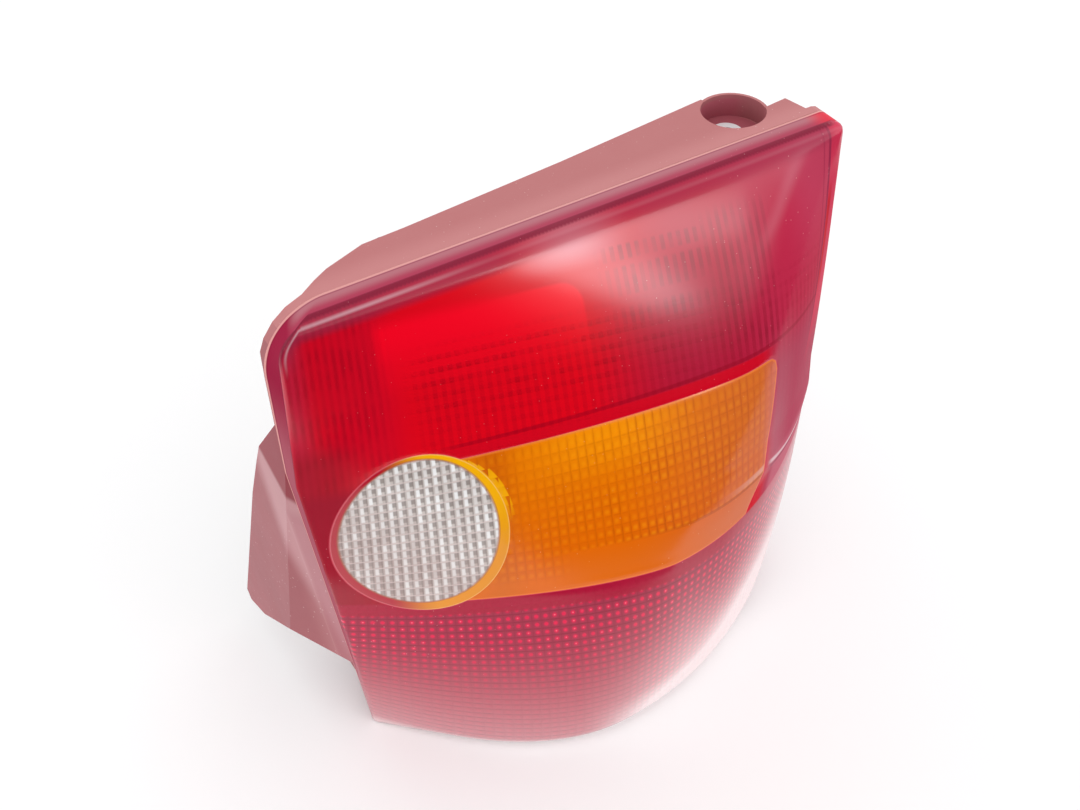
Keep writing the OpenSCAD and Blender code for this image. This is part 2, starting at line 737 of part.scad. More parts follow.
module body_gasket() {
    color("black") placed() in_depth(body_depth, body_depth + foam_t) difference() {
        bucket_2d(wall + 1 + foam_w);
        bucket_2d(wall + 1);
    }
}
module vent_cap() {
    color("black") placed() difference() {
        rod(vent_at, body_depth, body_depth + 11, vent_r + 2);
        rod(vent_at, body_depth - 1, body_depth + 8.5, vent_r);
    }
}

// Reflector
module bowl_shell(at, r) {
    face = [for (i = [0 : 8])
        let (q = bowl_hole_r + (r - bowl_hole_r) * i / 8) [q, bowl_depth * (1 - pow(q / r, 2))]];
    rear = [for (i = [8 : -1 : 0]) face[i] + [reflector_t * 0.55, reflector_t]];
    translate([at[0], reflector_y - reflector_t, at[1]])
        rotate([-90, 0, 0])
            rotate_extrude($fn = 72)
                polygon(concat(face, rear));
}
module divider(h, x0, x1) {
    front = [for (x = steps(x0, x1, 14)) [x, -max(0, crown(x, h) - lens_t - divider_gap)]];
    translate([0, 0, h - reflector_t / 2]) linear_extrude(reflector_t)
        polygon(concat(front, [[x1, reflector_y], [x0, reflector_y]]));
}
module reflector() {
    radii = [bowl_r, bowl_r, clear_bowl_r, bowl_r];
    color("gainsboro") placed() {
        difference() {
            in_depth(reflector_y - reflector_t, reflector_y) body_2d(wall + 0.4);
            for (i = [0 : 3]) rod(bulbs_at[i], 0, reflector_y + 1, radii[i] - 0.2);
        }
        for (i = [0 : 3]) bowl_shell(bulbs_at[i], radii[i]);
        divider(amber_high + 1.5, 30, lens_w - 22);
        divider(amber_low - 2, 30, lens_w - 30);
    }
}

// Bulb carrier
// A latch reaches over the bucket's rim and hooks behind it; drawn for the upper side
module latch() {
    reach = bucket_rim + 0.6;
    translate([-latch_w / 2, plate_y, 0]) cube([latch_w, plate_t, reach + latch_t]);
    translate([-latch_w / 2, latch_y - latch_t, reach]) cube([latch_w, strip_y - latch_y + latch_t, latch_t]);
    translate([-latch_w / 2, latch_y - latch_t, reach - 1.6]) cube([latch_w, latch_t, 1.7]);
}
// Slot beside a bulb's base for the tab of the earth strip
module earth_slot(at, gap = 0) {
    translate([at[0] - base_r - strip_t - gap, plate_y - tab_h - gap, at[1] - strip_w / 2 - gap])
        cube([strip_t + gap + tiny, tab_h + plate_t + 1, strip_w + 2 * gap]);
}
module bulb_carrier() {
    shroud_at = [shroud_x - shroud_w / 2, strip_y, shroud_z - shroud_h / 2];
    color("gainsboro") placed() difference() {
        union() {
            in_depth(plate_y, strip_y) bucket_2d(bucket_rim);
            for (at = bulbs_at) rod(at, plate_y - socket_h, plate_y + tiny, bulb_hole_r + socket_wall);
            translate(shroud_at - [shroud_t, tiny, shroud_t])
                cube([shroud_w + 2 * shroud_t, shroud_l, shroud_h + 2 * shroud_t]);
            translate([bucket_x + bucket_w / 2, 0, bucket_z + bucket_h]) latch();
            translate([bucket_x + bucket_w / 2, 0, bucket_z]) mirror([0, 0, 1]) latch();
        }
        for (at = bulbs_at) {
            rod(at, plate_y - socket_h - 1, bulb_foot_y, bulb_hole_r);
            earth_slot(at, 0.15);
        }
        for (at = contacts_at) rod(at, bulb_foot_y - 1, strip_y + 1, post_r + fit_gap);
        translate(shroud_at) cube([shroud_w, far, shroud_h]);
        translate(shroud_at + [1, 0, shroud_h / 2]) cube([shroud_w - 2, strip_t + 0.3, far]);
    }
}
module carrier_gasket() {
    color("black") placed() in_depth(bucket_depth, plate_y) difference() {
        bucket_2d(1 + gasket_w);
        bucket_2d(1);
    }
}
module connector_pins() {
    color("goldenrod") placed()
        for (i = [0 : pin_count - 1])
            translate([pin_x(i) - pin_w / 2, strip_y + strip_t, shroud_z - 0.4]) cube([pin_w, pin_l, 0.8]);
}

// Contact strips
// Square-cornered track through the points, drawn across and up
module track(points) {
    for (i = [0 : len(points) - 2]) {
        a = points[i];
        b = points[i + 1];
        translate([min(a[0], b[0]) - strip_w / 2, min(a[1], b[1]) - strip_w / 2])
            square([abs(a[0] - b[0]) + strip_w, abs(a[1] - b[1]) + strip_w]);
    }
}
// A live strip runs up from its pin, across at a height and up or down to a contact
module live_strip(i, cross_z, contact) {
    color("goldenrod") placed() {
        in_depth(strip_y, strip_y + strip_t)
            track([[pin_x(i), shroud_z], [pin_x(i), cross_z], [contact[0], cross_z], contact]);
        rod(contact, bulb_foot_y, strip_y + tiny, post_r);
    }
}
module fog_strip() live_strip(0, low_run(0.18), fog_contact);
module reverse_strip() live_strip(2, low_run(0.52), reverse_contact);
module turn_strip() live_strip(3, low_run(0.7), turn_contact);
module tail_strip() live_strip(4, high_run(0.5), tail_contact);
module stop_strip() live_strip(5, high_run(0.65), stop_contact);
// The earth strip runs up the inboard side and sends a branch with a tab to every bulb
module earth_strip() {
    trunk = bucket_x + 7;
    foot = low_run(0.36);
    side = high_run(0.3);
    head = high_run(0.79);
    color("goldenrod") placed() {
        in_depth(strip_y, strip_y + strip_t) {
            track([[pin_x(1), shroud_z], [pin_x(1), foot], [trunk, foot], [trunk, head]]);
            track([[trunk, head], [tab(stop_at)[0], head], tab(stop_at)]);
            track([[trunk, clear_h], tab(reverse_at)]);
            track([[trunk, side], [tab(turn_at)[0], side], tab(turn_at)]);
            track([[tab(fog_at)[0], foot], tab(fog_at)]);
        }
        for (at = bulbs_at) earth_slot(at);
    }
}

// Bulbs: a metal base with a pear of glass on it, its tip towards the lens
module bulb(at) {
    top = bulb_h - glass_r;
    base = [[0, 0], [4, 0], [4, 1.5], [base_r, 2.5], [base_r, base_h], [glass_neck_r, base_h]];
    glass = concat([[glass_neck_r, base_h + 2]],
                   [for (a = [0 : 15 : 90]) [glass_r * cos(a), top + glass_r * sin(a)]]);
    color("lightyellow") placed() translate([at[0], bulb_foot_y, at[1]]) rotate([90, 0, 0])
        rotate_extrude($fn = 64) polygon(concat(base, glass));
}
module stop_tail_bulb() bulb(stop_at);
module turn_bulb() bulb(turn_at);
module reverse_bulb() bulb(reverse_at);
module fog_bulb() bulb(fog_at);

lens_red();
lens_amber();
lens_clear();
seal_bead();
housing();
top_bush();
mounting_studs();
body_gasket();
vent_cap();
reflector();
bulb_carrier();
carrier_gasket();
connector_pins();
earth_strip();
tail_strip();
stop_strip();
turn_strip();
reverse_strip();
fog_strip();
stop_tail_bulb();
turn_bulb();
reverse_bulb();
fog_bulb();
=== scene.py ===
# %% [markdown]
# # A tail light cluster for a family car
# The lamp stands on its lower lens edge. The packed solids give the exact
# sizes, and this notebook dresses them: it replaces the three lens solids by
# finely divided shells, rounds the edges of the rest, and gives every piece a
# material that is made from nodes. All lengths in Blender are metres. The form
# of the lens was drawn in millimetres, so a small helper turns one into the
# other.

# %% Load the frame
import math
import bpy
from mathutils import Matrix, Vector
from mathutils.geometry import delaunay_2d_cdt


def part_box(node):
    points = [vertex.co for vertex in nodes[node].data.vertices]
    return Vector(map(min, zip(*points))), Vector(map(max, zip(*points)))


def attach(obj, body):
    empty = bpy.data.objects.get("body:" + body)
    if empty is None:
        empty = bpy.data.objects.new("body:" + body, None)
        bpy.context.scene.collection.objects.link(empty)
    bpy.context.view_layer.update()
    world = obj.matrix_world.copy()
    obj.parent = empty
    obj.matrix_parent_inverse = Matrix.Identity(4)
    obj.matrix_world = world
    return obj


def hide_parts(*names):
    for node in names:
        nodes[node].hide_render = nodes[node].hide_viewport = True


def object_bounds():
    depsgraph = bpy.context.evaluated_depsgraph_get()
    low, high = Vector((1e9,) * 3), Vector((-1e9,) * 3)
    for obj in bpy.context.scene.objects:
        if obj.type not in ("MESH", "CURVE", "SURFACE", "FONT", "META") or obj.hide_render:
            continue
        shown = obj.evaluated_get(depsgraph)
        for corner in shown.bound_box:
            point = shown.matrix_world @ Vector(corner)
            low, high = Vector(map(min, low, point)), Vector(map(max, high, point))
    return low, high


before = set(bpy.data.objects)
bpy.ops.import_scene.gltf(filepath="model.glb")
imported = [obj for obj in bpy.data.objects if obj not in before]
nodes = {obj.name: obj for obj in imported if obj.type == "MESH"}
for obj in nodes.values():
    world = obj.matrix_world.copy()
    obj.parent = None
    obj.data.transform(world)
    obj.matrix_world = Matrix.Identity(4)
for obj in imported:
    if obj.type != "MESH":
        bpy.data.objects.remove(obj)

cad_box = [list(corner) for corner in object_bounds()]
print("nodes in the frame:", len(nodes))

# %% [markdown]
# ## Camera
# The photograph was taken from above and from the left of the lamp. A camera
# can be aimed with a Track To constraint, but writing its three axes into a
# matrix keeps the roll at exactly nothing, so the upright edges of the render
# fall where they fall in the photograph.

# %% Camera
CAMERA_PLACE = Vector((-0.3583, -0.4286, 0.3409))
RIGHT = Vector((0.8508, -0.5255, 0.0))
UP = Vector((0.3516, 0.5693, 0.7431))
BACK = RIGHT.cross(UP)

lens_data = bpy.data.cameras.new("camera")
lens_data.lens = 50
lens_data.sensor_width = 36
camera = bpy.data.objects.new("camera", lens_data)
camera.matrix_world = Matrix((
    (RIGHT.x, UP.x, BACK.x, CAMERA_PLACE.x),
    (RIGHT.y, UP.y, BACK.y, CAMERA_PLACE.y),
    (RIGHT.z, UP.z, BACK.z, CAMERA_PLACE.z),
    (0, 0, 0, 1)))
bpy.context.scene.collection.objects.link(camera)
bpy.context.scene.camera = camera
print("camera looks along", [round(v, 3) for v in -BACK])

# %% [markdown]
# ## Node helpers
# A material is a small network. Written out call by call it takes pages, so
# this class adds one node at a time and hands back its output socket. Every
# sum below then reads almost like the formula that it stands for. Most looks
# are layers of colour, each as strong as a few masks allow: that is paint().

# %% Node helpers
class Net:
    """Adds nodes to one tree, each in one short call."""

    def __init__(self, tree):
        self.tree = tree

    def add(self, kind, **settings):
        node = self.tree.nodes.new(kind)
        for name, value in settings.items():
            setattr(node, name, value)
        return node

    def put(self, socket, value):
        if isinstance(value, bpy.types.NodeSocket):
            self.tree.links.new(value, socket)
        elif value is not None:
            socket.default_value = value

    def math(self, operation, a, b=None, c=None, clamp=False):
        node = self.add("ShaderNodeMath", operation=operation, use_clamp=clamp)
        for socket, value in zip(node.inputs, (a, b, c)):
            self.put(socket, value)
        return node.outputs[0]

    def product(self, *values):
        """All the values multiplied, in their order."""
        result = values[0]
        for value in values[1:]:
            result = self.math("MULTIPLY", result, value)
        return result

    def length(self, a, b):
        """Distance from nought when these are the two sides."""
        return self.math("SQRT", self.math("ADD", self.math("POWER", a, 2.0), self.math("POWER", b, 2.0)))

    def blend(self, factor, a, b):
        node = self.add("ShaderNodeMix", data_type="RGBA")
        self.put(node.inputs["Factor"], factor)
        self.put(node.inputs[6], a)
        self.put(node.inputs[7], b)
        return node.outputs[2]

    def paint(self, under, code, *masks):
        """This web colour laid over another, as strongly as all the masks allow."""
        return self.blend(self.product(*masks), under, colour(code))

    def step(self, value, low, high, to_low=0.0, to_high=1.0):
        node = self.add("ShaderNodeMapRange", interpolation_type="SMOOTHSTEP")
        for socket, number in zip(node.inputs, (value, low, high, to_low, to_high)):
            self.put(socket, number)
        return node.outputs[0]

    def between(self, value, low, high, soft):
        """1 between low and high, with ends this soft."""
        half = soft / 2
        rising = self.step(value, low - half, low + half)
        return self.product(rising, self.step(value, high + half, high - half))

    def noise(self, scale, detail=2.0, vector=None, roughness=0.5):
        node = self.add("ShaderNodeTexNoise")
        node.inputs["Scale"].default_value = scale
        node.inputs["Detail"].default_value = detail
        node.inputs["Roughness"].default_value = roughness
        self.put(node.inputs["Vector"], vector)
        return node.outputs["Fac"]

    def attribute(self, name):
        return self.add("ShaderNodeAttribute", attribute_name=name).outputs["Fac"]

    def position(self):
        return self.add("ShaderNodeTexCoord").outputs["Object"]

    def split(self, vector):
        """The three parts of a vector, X, Y and Z."""
        node = self.add("ShaderNodeSeparateXYZ")
        self.put(node.inputs[0], vector)
        return node.outputs

    def use(self, group, **inputs):
        node = self.add("ShaderNodeGroup", node_tree=group)
        for name, value in inputs.items():
            self.put(node.inputs[name.replace("_", " ")], value)
        return node.outputs


print("node helpers:", [name for name in vars(Net) if not name.startswith("_")])

# %% [markdown]
# ## Colours and groups
# Shader sockets take linear colours, while a web colour is stored with a curve
# that suits screens, so a short function undoes the curve. Another one makes an
# empty shader group: its sockets belong to the interface of the tree, and two
# end nodes bring them into the network.

# %% Colours and groups
def colour(code):
    """A web colour as the linear numbers that a socket takes."""
    parts = [int(code[i:i + 2], 16) / 255 for i in (1, 3, 5)]
    return [p / 12.92 if p <= 0.04045 else ((p + 0.055) / 1.055) ** 2.4 for p in parts] + [1.0]


def new_group(name, inputs, outputs):
    """An empty shader group with named sockets, its helper, and its two end nodes."""
    tree = bpy.data.node_groups.new(name, "ShaderNodeTree")
    for direction, sockets in (("INPUT", inputs), ("OUTPUT", outputs)):
        for socket_name, kind in sockets.items():
            tree.interface.new_socket(socket_name, in_out=direction, socket_type="NodeSocket" + kind)
    net = Net(tree)
    start = net.add("NodeGroupInput").outputs
    end = net.add("NodeGroupOutput").inputs
    return tree, net, start, end


print("mid grey as a socket value:", [round(v, 3) for v in colour("#808080")])

# %% [markdown]
# ## Shared effects: dust
# Three effects turn up on more than one piece, so each is a shader group that
# is made once and gives back masks only. Dust is a thin film with fine pale
# specks that gather in patches. Particles would be real, but thousands of them
# are slow and too small to see singly. Cells of a Voronoi texture do it here: a
# speck shows where a point is close to the middle of its cell, and how close it
# must be is set by a slow noise.

# %% Dust group
dust_group, net, start, end = new_group(
    "dust", {"Size": "Float", "Cover": "Float"}, {"Specks": "Float", "Film": "Float"})
place = net.position()
speck = net.add("ShaderNodeTexVoronoi")
net.put(speck.inputs["Vector"], place)
net.put(speck.inputs["Scale"], start["Size"])
patches = net.noise(9.0, 3.0, place)
reach = net.product(net.math("SUBTRACT", patches, 0.35), net.math("MULTIPLY", start["Cover"], 0.6))
net.put(end["Specks"], net.step(net.math("SUBTRACT", speck.outputs["Distance"], reach), 0.05, 0.0))
net.put(end["Film"], net.math("MULTIPLY", net.noise(60.0, 5.0, place, 0.7), start["Cover"], clamp=True))
print("group:", dust_group.name)

# %% [markdown]
# ## Shared effects: grain
# Grain is the low, even texture that a spark-eroded mould leaves on plastic,
# and blotches are the slow changes of tone that any large moulding has. Both
# are noise at two scales. The fine one feeds a bump and no displacement, as it
# is far smaller than a pixel.

# %% Grain group
grain_group, net, start, end = new_group(
    "moulded grain", {"Size": "Float"}, {"Height": "Float", "Blotches": "Float"})
place = net.position()
fine = net.add("ShaderNodeTexNoise")
net.put(fine.inputs["Vector"], place)
net.put(fine.inputs["Scale"], start["Size"])
fine.inputs["Detail"].default_value = 3.0
net.put(end["Height"], fine.outputs["Fac"])
net.put(end["Blotches"], net.step(net.noise(14.0, 4.0, place, 0.6), 0.3, 0.7))
print("group:", grain_group.name)

# %% [markdown]
# ## Shared effects: optics
# Optics are the small pillows on the inside of a lens that spread the light of
# the bulb. The group takes a column and a row number that grow along the lens,
# and their fractions say where a point lies within its pillow. It gives back:
# Dome, the rounded height; Line, dark borders all round; Cross, only the border
# between two rows; Lower and Side, shades that run down and across; Middle, the
# distance from the centre; and Random, one number for each pillow.

# %% Optics group
OPTICS_OUTPUTS = ("Dome", "Line", "Cross", "Lower", "Side", "Middle", "Random")
optics_group, net, start, end = new_group(
    "pillow optics", {"Column": "Float", "Row": "Float"}, {name: "Float" for name in OPTICS_OUTPUTS})
across = net.math("FRACT", start["Column"])
down = net.math("FRACT", start["Row"])
from_middle = [net.math("ABSOLUTE", net.math("SUBTRACT", part, 0.5)) for part in (across, down)]
falls = [net.math("POWER", net.math("MULTIPLY", part, 2.0), 2.0) for part in from_middle]
net.put(end["Dome"], net.product(*[net.math("SUBTRACT", 1.0, fall) for fall in falls]))
borders = [net.step(part, 0.38, 0.5) for part in from_middle]
net.put(end["Line"], net.math("MAXIMUM", *borders))
net.put(end["Cross"], borders[1])
net.put(end["Middle"], net.length(*from_middle))
net.put(end["Lower"], net.math("SUBTRACT", 1.0, down))
net.put(end["Side"], across)
cell = net.add("ShaderNodeCombineXYZ")
net.put(cell.inputs[0], net.math("FLOOR", start["Column"]))
net.put(cell.inputs[1], net.math("FLOOR", start["Row"]))
dice = net.add("ShaderNodeTexWhiteNoise", noise_dimensions="2D")
net.put(dice.inputs["Vector"], cell.outputs[0])
net.put(end["Random"], dice.outputs["Value"])
print("group:", optics_group.name)

# %% [markdown]
# ## The form of the lens
# The lens is a deep shell that bulges towards its outer end and drops back to a
# thin rim all round. In the source the same form is worked out from four
# levels, each with a depth at the inboard edge, a depth and place of the crown,
# and a fullness. Repeating those sums here, rather than dividing the packed
# triangles, gives smooth curvature and exact distances to every seam.

# %% Sizes of the lens in millimetres
LENS_W = 260.0
LENS_H = 258.0
TOP_RISE = 3.5
KINK_H = 179.0
LEAN_W = 24.0
FLARE_W = 3.0
CORNER_IN = 14.0
CORNER_JOINT = 28.0
CORNER_OUT = 5.0
CORNER_LOW = 75.0
ROLL = 12.0
TOP_FILLET = 5.0
OUT_FILLET = 4.0
IN_FILLET = 1.2
CREASE_H = 120.5
CREASE_RISE = 1.5
SHIFT = (-223.0, -19.5, -250.0)
# Height, inboard depth, crown depth, crown place, fullness, outboard depth
LEVELS = (
    (258.0, 14.0, 14.0, 200.0, 1.7, 14.0),
    (179.0, 12.0, 49.0, 185.0, 1.6, 14.0),
    (96.0, 8.0, 66.0, 145.0, 1.45, 13.0),
    (0.0, 2.0, 68.0, 125.0, 2.1, 6.0))


def metres(x, y, z):
    """A point of the lens drawing as a point of the frame."""
    return ((x + SHIFT[0]) / 1000, (y + SHIFT[1]) / 1000, (z + SHIFT[2]) / 1000)


print("lens", LENS_W, "by", LENS_H, "mm")

# %% [markdown]
# ## Sums for the form
# The outline of the lens leans and has rounded corners, each a quarter circle
# that falls away near an edge. Between the four levels a cubic through all of
# them keeps the surface free of kinks. Lofted curves would do the same, but a
# plain function of width and height can be asked at any point. A low ridge, the
# crease, is added to that, and it grows towards the outboard end.

# %% Outline functions
def arc_drop(distance, radius):
    """How far a quarter circle falls away this far from its end."""
    if distance >= radius:
        return 0.0
    return radius - math.sqrt(max(0.0, radius ** 2 - (radius - max(distance, 0.0)) ** 2))


def lean_x(h):
    return LEAN_W * (KINK_H - h) / KINK_H if h < KINK_H else 0.0


def inboard_x(h):
    return lean_x(h) + arc_drop(LENS_H - h, CORNER_IN)


def joint_x(h):
    flare = FLARE_W * (h - KINK_H) / (LENS_H - KINK_H) if h > KINK_H else 0.0
    return lean_x(h) - flare + arc_drop(LENS_H - h, CORNER_JOINT)


def outboard_x(h):
    return LENS_W - arc_drop(h, CORNER_LOW) - arc_drop(LENS_H - h, CORNER_OUT)


print("width at mid height:", round(outboard_x(130) - inboard_x(130), 1), "mm")

# %% [markdown]
# ## Depth of the crown
# At each height the crown has a place and a depth, and the surface falls away
# from it to both sides by a power of the distance. The rounded edges are taken
# off last: where two of them meet, the larger one counts.

# %% Depth of the crown
CREASE_REACH = 16
CREASE_START_X = 90
CREASE_GROWTH = 110


def tilted(x, h):
    return h * (1 + (x / LENS_W - 0.5) * TOP_RISE / LENS_H)


def between_levels(h, item):
    """A cubic through the four levels."""
    total = 0.0
    for level in LEVELS:
        weight = 1.0
        for other in LEVELS:
            if other is not level:
                weight *= (h - other[0]) / (level[0] - other[0])
        total += weight * level[item]
    return total


LEVEL_CACHE = {}


def level_at(h):
    key = round(h, 4)
    if key not in LEVEL_CACHE:
        LEVEL_CACHE[key] = [between_levels(h, item) for item in range(1, 6)]
    return LEVEL_CACHE[key]


def crown(x, h):
    """Depth of the lens in front of the joint, before its edges are rounded."""
    low_in, high, place, full, low_out = level_at(h)
    if x < place:
        share = max(0.0, (place - x) / (place - inboard_x(h)))
        depth = high - (high - low_in) * share ** full
    else:
        depth = high - (high - low_out) * ((x - place) / (LENS_W - place)) ** 2
    depth -= arc_drop(h, ROLL) * min(1.0, max(0.0, depth) / 30)
    ridge = CREASE_RISE * max(0.0, 1 - abs(h - CREASE_H) / CREASE_REACH)
    return depth + ridge * min(1.0, max(0.0, (x - CREASE_START_X) / CREASE_GROWTH))


def front_depth(x, h, drop=0.0):
    edge = max(arc_drop(LENS_H - h, TOP_FILLET), arc_drop(outboard_x(h) - x, OUT_FILLET),
               arc_drop(x - inboard_x(h), IN_FILLET))
    return max(crown(x, h) - edge - drop, 0.2)


print("depth at the middle of the lens:", round(front_depth(130, 120), 1), "mm")

# %% [markdown]
# ## Seams between the colours
# A three-colour lens is moulded in three shots, and a thin bright line stays
# where two colours meet. The amber part is a long window with a slanted inner
# end, and the clear part is an oval that cuts into its left end. Both outlines
# are polygons with short sides, because the triangles of the shell are made to
# follow them.

# %% Outlines
AMBER_OUTLINE = ((47, 178.5), (201.5, 178.5), (204.6, 178.0), (207.0, 176.0), (207.9, 171.5), (204, 141.5),
                 (200.5, 120.5), (191, 100.5), (58, 100.5))
SEAM_PACE = 1.6
OVAL = (44.0, 140.5, 34.5, 44.5)
OVAL_INNER = (43.4, 142.0, 30.9, 41.0)


def walk(corners, pace):
    """Points along a closed outline, no further apart than the pace."""
    points = []
    for (x0, z0), (x1, z1) in zip(corners, corners[1:] + corners[:1]):
        count = max(1, math.ceil(math.hypot(x1 - x0, z1 - z0) / pace))
        points += [(x0 + (x1 - x0) * i / count, z0 + (z1 - z0) * i / count) for i in range(count)]
    return points


def oval_points(oval, count):
    cx, cz, rx, rz = oval
    turns = [math.tau * i / count for i in range(count)]
    return [(cx + rx * math.cos(turn), cz + rz * math.sin(turn)) for turn in turns]


def oval_distance(oval, x, z):
    """About how far outside the oval a point is, negative inside."""
    cx, cz, rx, rz = oval
    u, v = (x - cx) / rx, (z - cz) / rz
    size = math.hypot(u, v)
    slope = math.hypot(u / rx, v / rz) / max(size, 1e-6)
    return (size - 1) / max(slope, 1e-6)


def outline_distance(corners, x, z):
    """Distance from a closed outline, negative inside."""
    best, inside = 1e9, False
    for (x0, z0), (x1, z1) in zip(corners, corners[1:] + corners[:1]):
        dx, dz = x1 - x0, z1 - z0
        share = min(1.0, max(0.0, ((x - x0) * dx + (z - z0) * dz) / (dx * dx + dz * dz)))
        best = min(best, math.hypot(x - x0 - share * dx, z - z0 - share * dz))
        if (z0 > z) != (z1 > z) and x < x0 + dx * (z - z0) / dz:
            inside = not inside
    return -best if inside else best


print("amber window:", len(AMBER_OUTLINE), "corners; oval", OVAL[2] * 2, "by", OVAL[3] * 2, "mm")

# %% [markdown]
# ## Triangles of the shell
# The drawing plane is filled with points about 1.6 mm apart, and closer at the
# edges where the form turns. A constrained Delaunay triangulation joins them
# and keeps the outline and both seams as edges. Each point is then lifted to
# the depth that the form gives it.

# %% Points of the front
GRID = 1.65


def steps(low, high, pace):
    count = max(1, round((high - low) / pace))
    return [low + (high - low) * i / count for i in range(count + 1)]


def turn_steps(radius, angles):
    return [radius * (1 - math.cos(math.radians(a))) for a in angles]


low_heights = turn_steps(ROLL, (0, 15, 30, 45, 58, 70))
top_heights = [LENS_H - d for d in turn_steps(TOP_FILLET, (0, 12, 24, 36, 48, 60, 75, 90))]
heights = sorted(set(low_heights + steps(9.0, 252.0, GRID) + top_heights))
points = []
left_ends = []
right_ends = []
for h in heights:
    low, high = inboard_x(h), outboard_x(h)
    starts = [low + d for d in turn_steps(IN_FILLET, (0, 35, 60, 90))]
    ends = [high - d for d in turn_steps(OUT_FILLET, (0, 15, 30, 45, 60, 75, 90))]
    row = starts + steps(low + 2.6, high - 5.0, GRID) + ends[::-1]
    left_ends.append((low, h))
    right_ends.append((high, h))
    points += [(x, h) for x in row[1:-1]]
amber_line = walk(AMBER_OUTLINE, SEAM_PACE)
oval_line = oval_points(OVAL, 150)
print(len(points), "points on", len(heights), "heights")

# %% [markdown]
# ## Joining the points
# Each outline goes in as a closed chain of edges that the triangulation must
# keep. Points of the grid that lie almost on a seam are left out, because they
# would make slivers beside it, and a sliver shows as a scratch on a glossy
# surface.

# %% Triangulate
lower_edge = [(x, 0.0) for x in steps(inboard_x(0), outboard_x(0), GRID)][1:-1]
upper_edge = [(x, LENS_H) for x in steps(inboard_x(LENS_H), outboard_x(LENS_H), GRID)][1:-1]
outline = [left_ends[0]] + lower_edge + right_ends + upper_edge[::-1] + left_ends[:0:-1]
seen = set()
rim = []
for point in outline:
    key = (round(point[0], 3), round(point[1], 3))
    if key not in seen:
        seen.add(key)
        rim.append(point)
keep = [p for p in points
        if 0.5 < abs(oval_distance(OVAL, *p)) and 0.6 < abs(outline_distance(AMBER_OUTLINE, *p))
        and 0 < p[1] < LENS_H]
flat = rim + oval_line + amber_line + keep
edges = []
first = 0
for chain in (rim, oval_line, amber_line):
    edges += [(first + i, first + (i + 1) % len(chain)) for i in range(len(chain))]
    first += len(chain)
made, _, triangles, _, _, _ = delaunay_2d_cdt([Vector(p) for p in flat], edges, [], 1, 1e-5)
made = [(p.x, p.y) for p in made]
print(len(made), "points,", len(triangles), "triangles")

# %% [markdown]
# ## What each point of the lens knows
# The shaders need to know where they are on the lens: how many millimetres
# along the surface, how high, how far from the rim and from each seam. These
# numbers are worked out once for each vertex and stored as attributes, and the
# nodes read them back. Columns of optics are equally spaced along the curved
# surface, so the column number comes from the length of the curve and not
# from its width.

# %% Columns along the surface
COLUMN_W = 3.85
MID_H = 150.0
DOTS_TOP_H = 90.0
DOT_ROW_H = 4.9
CLOSING_UP = 0.35
arc_x = [0.0]
for i in range(1, int(LENS_W) + 1):
    rise = crown(float(i), MID_H) - crown(float(i - 1), MID_H) if i > 1 else 0.0
    arc_x.append(arc_x[-1] + math.hypot(1.0, rise))


def along(x):
    """Length of the surface from the inboard edge to this place."""
    x = min(max(x, 0.0), LENS_W - 0.001)
    i = int(x)
    return arc_x[i] + (arc_x[i + 1] - arc_x[i]) * (x - i)


def dot_row(h):
    """Row number in the lower field, where the rows close up downwards."""
    t = (DOTS_TOP_H - h) / DOTS_TOP_H
    return DOTS_TOP_H / DOT_ROW_H * (t + CLOSING_UP * t * t)


print("surface length at mid height:", round(along(LENS_W), 1), "mm")

# %% [markdown]
# ## Facts and regions
# Each point carries its column, height, distances and wall share. A point lies
# in the oval, in the amber window or else in the red. Right on a seam the
# surface is set back by nearly a fifth of a millimetre, which gives the fine
# line between two shots of plastic real shading.

# %% Facts and regions
SEAM_SET_BACK = 0.18
SEAM_REACH = 0.15


def rim_distance(x, h):
    return min(x - inboard_x(h), outboard_x(h) - x, LENS_H - h, h + 4.0)


def lens_facts(x, h, wall=0.0):
    return {
        "column": along(x) / COLUMN_W,
        "along": along(x),
        "height": h,
        "across": x,
        "rim": rim_distance(x, h),
        "amber_gap": outline_distance(AMBER_OUTLINE, x, h),
        "oval_gap": oval_distance(OVAL, x, h),
        "inner_gap": oval_distance(OVAL_INNER, x, h),
        "dots": dot_row(h),
        "wall": wall}


def region(x, h):
    if oval_distance(OVAL, x, h) < 0:
        return "clear"
    return "amber" if outline_distance(AMBER_OUTLINE, x, h) < 0 else "red"


def seam_drop(x, h):
    gap = min(abs(oval_distance(OVAL, x, h)), abs(outline_distance(AMBER_OUTLINE, x, h)))
    return SEAM_SET_BACK if gap < SEAM_REACH else 0.0


print("the middle of the lens is", region(LENS_W / 2, LENS_H / 2))

# %% [markdown]
# ## Building a shell
# A shell is built from plain lists of places and faces, which is faster and
# clearer than editing a grid. The dictionary hands out one number for each
# point, so that neighbouring triangles, and the walls too, share their corners
# and the shading runs on without a break.

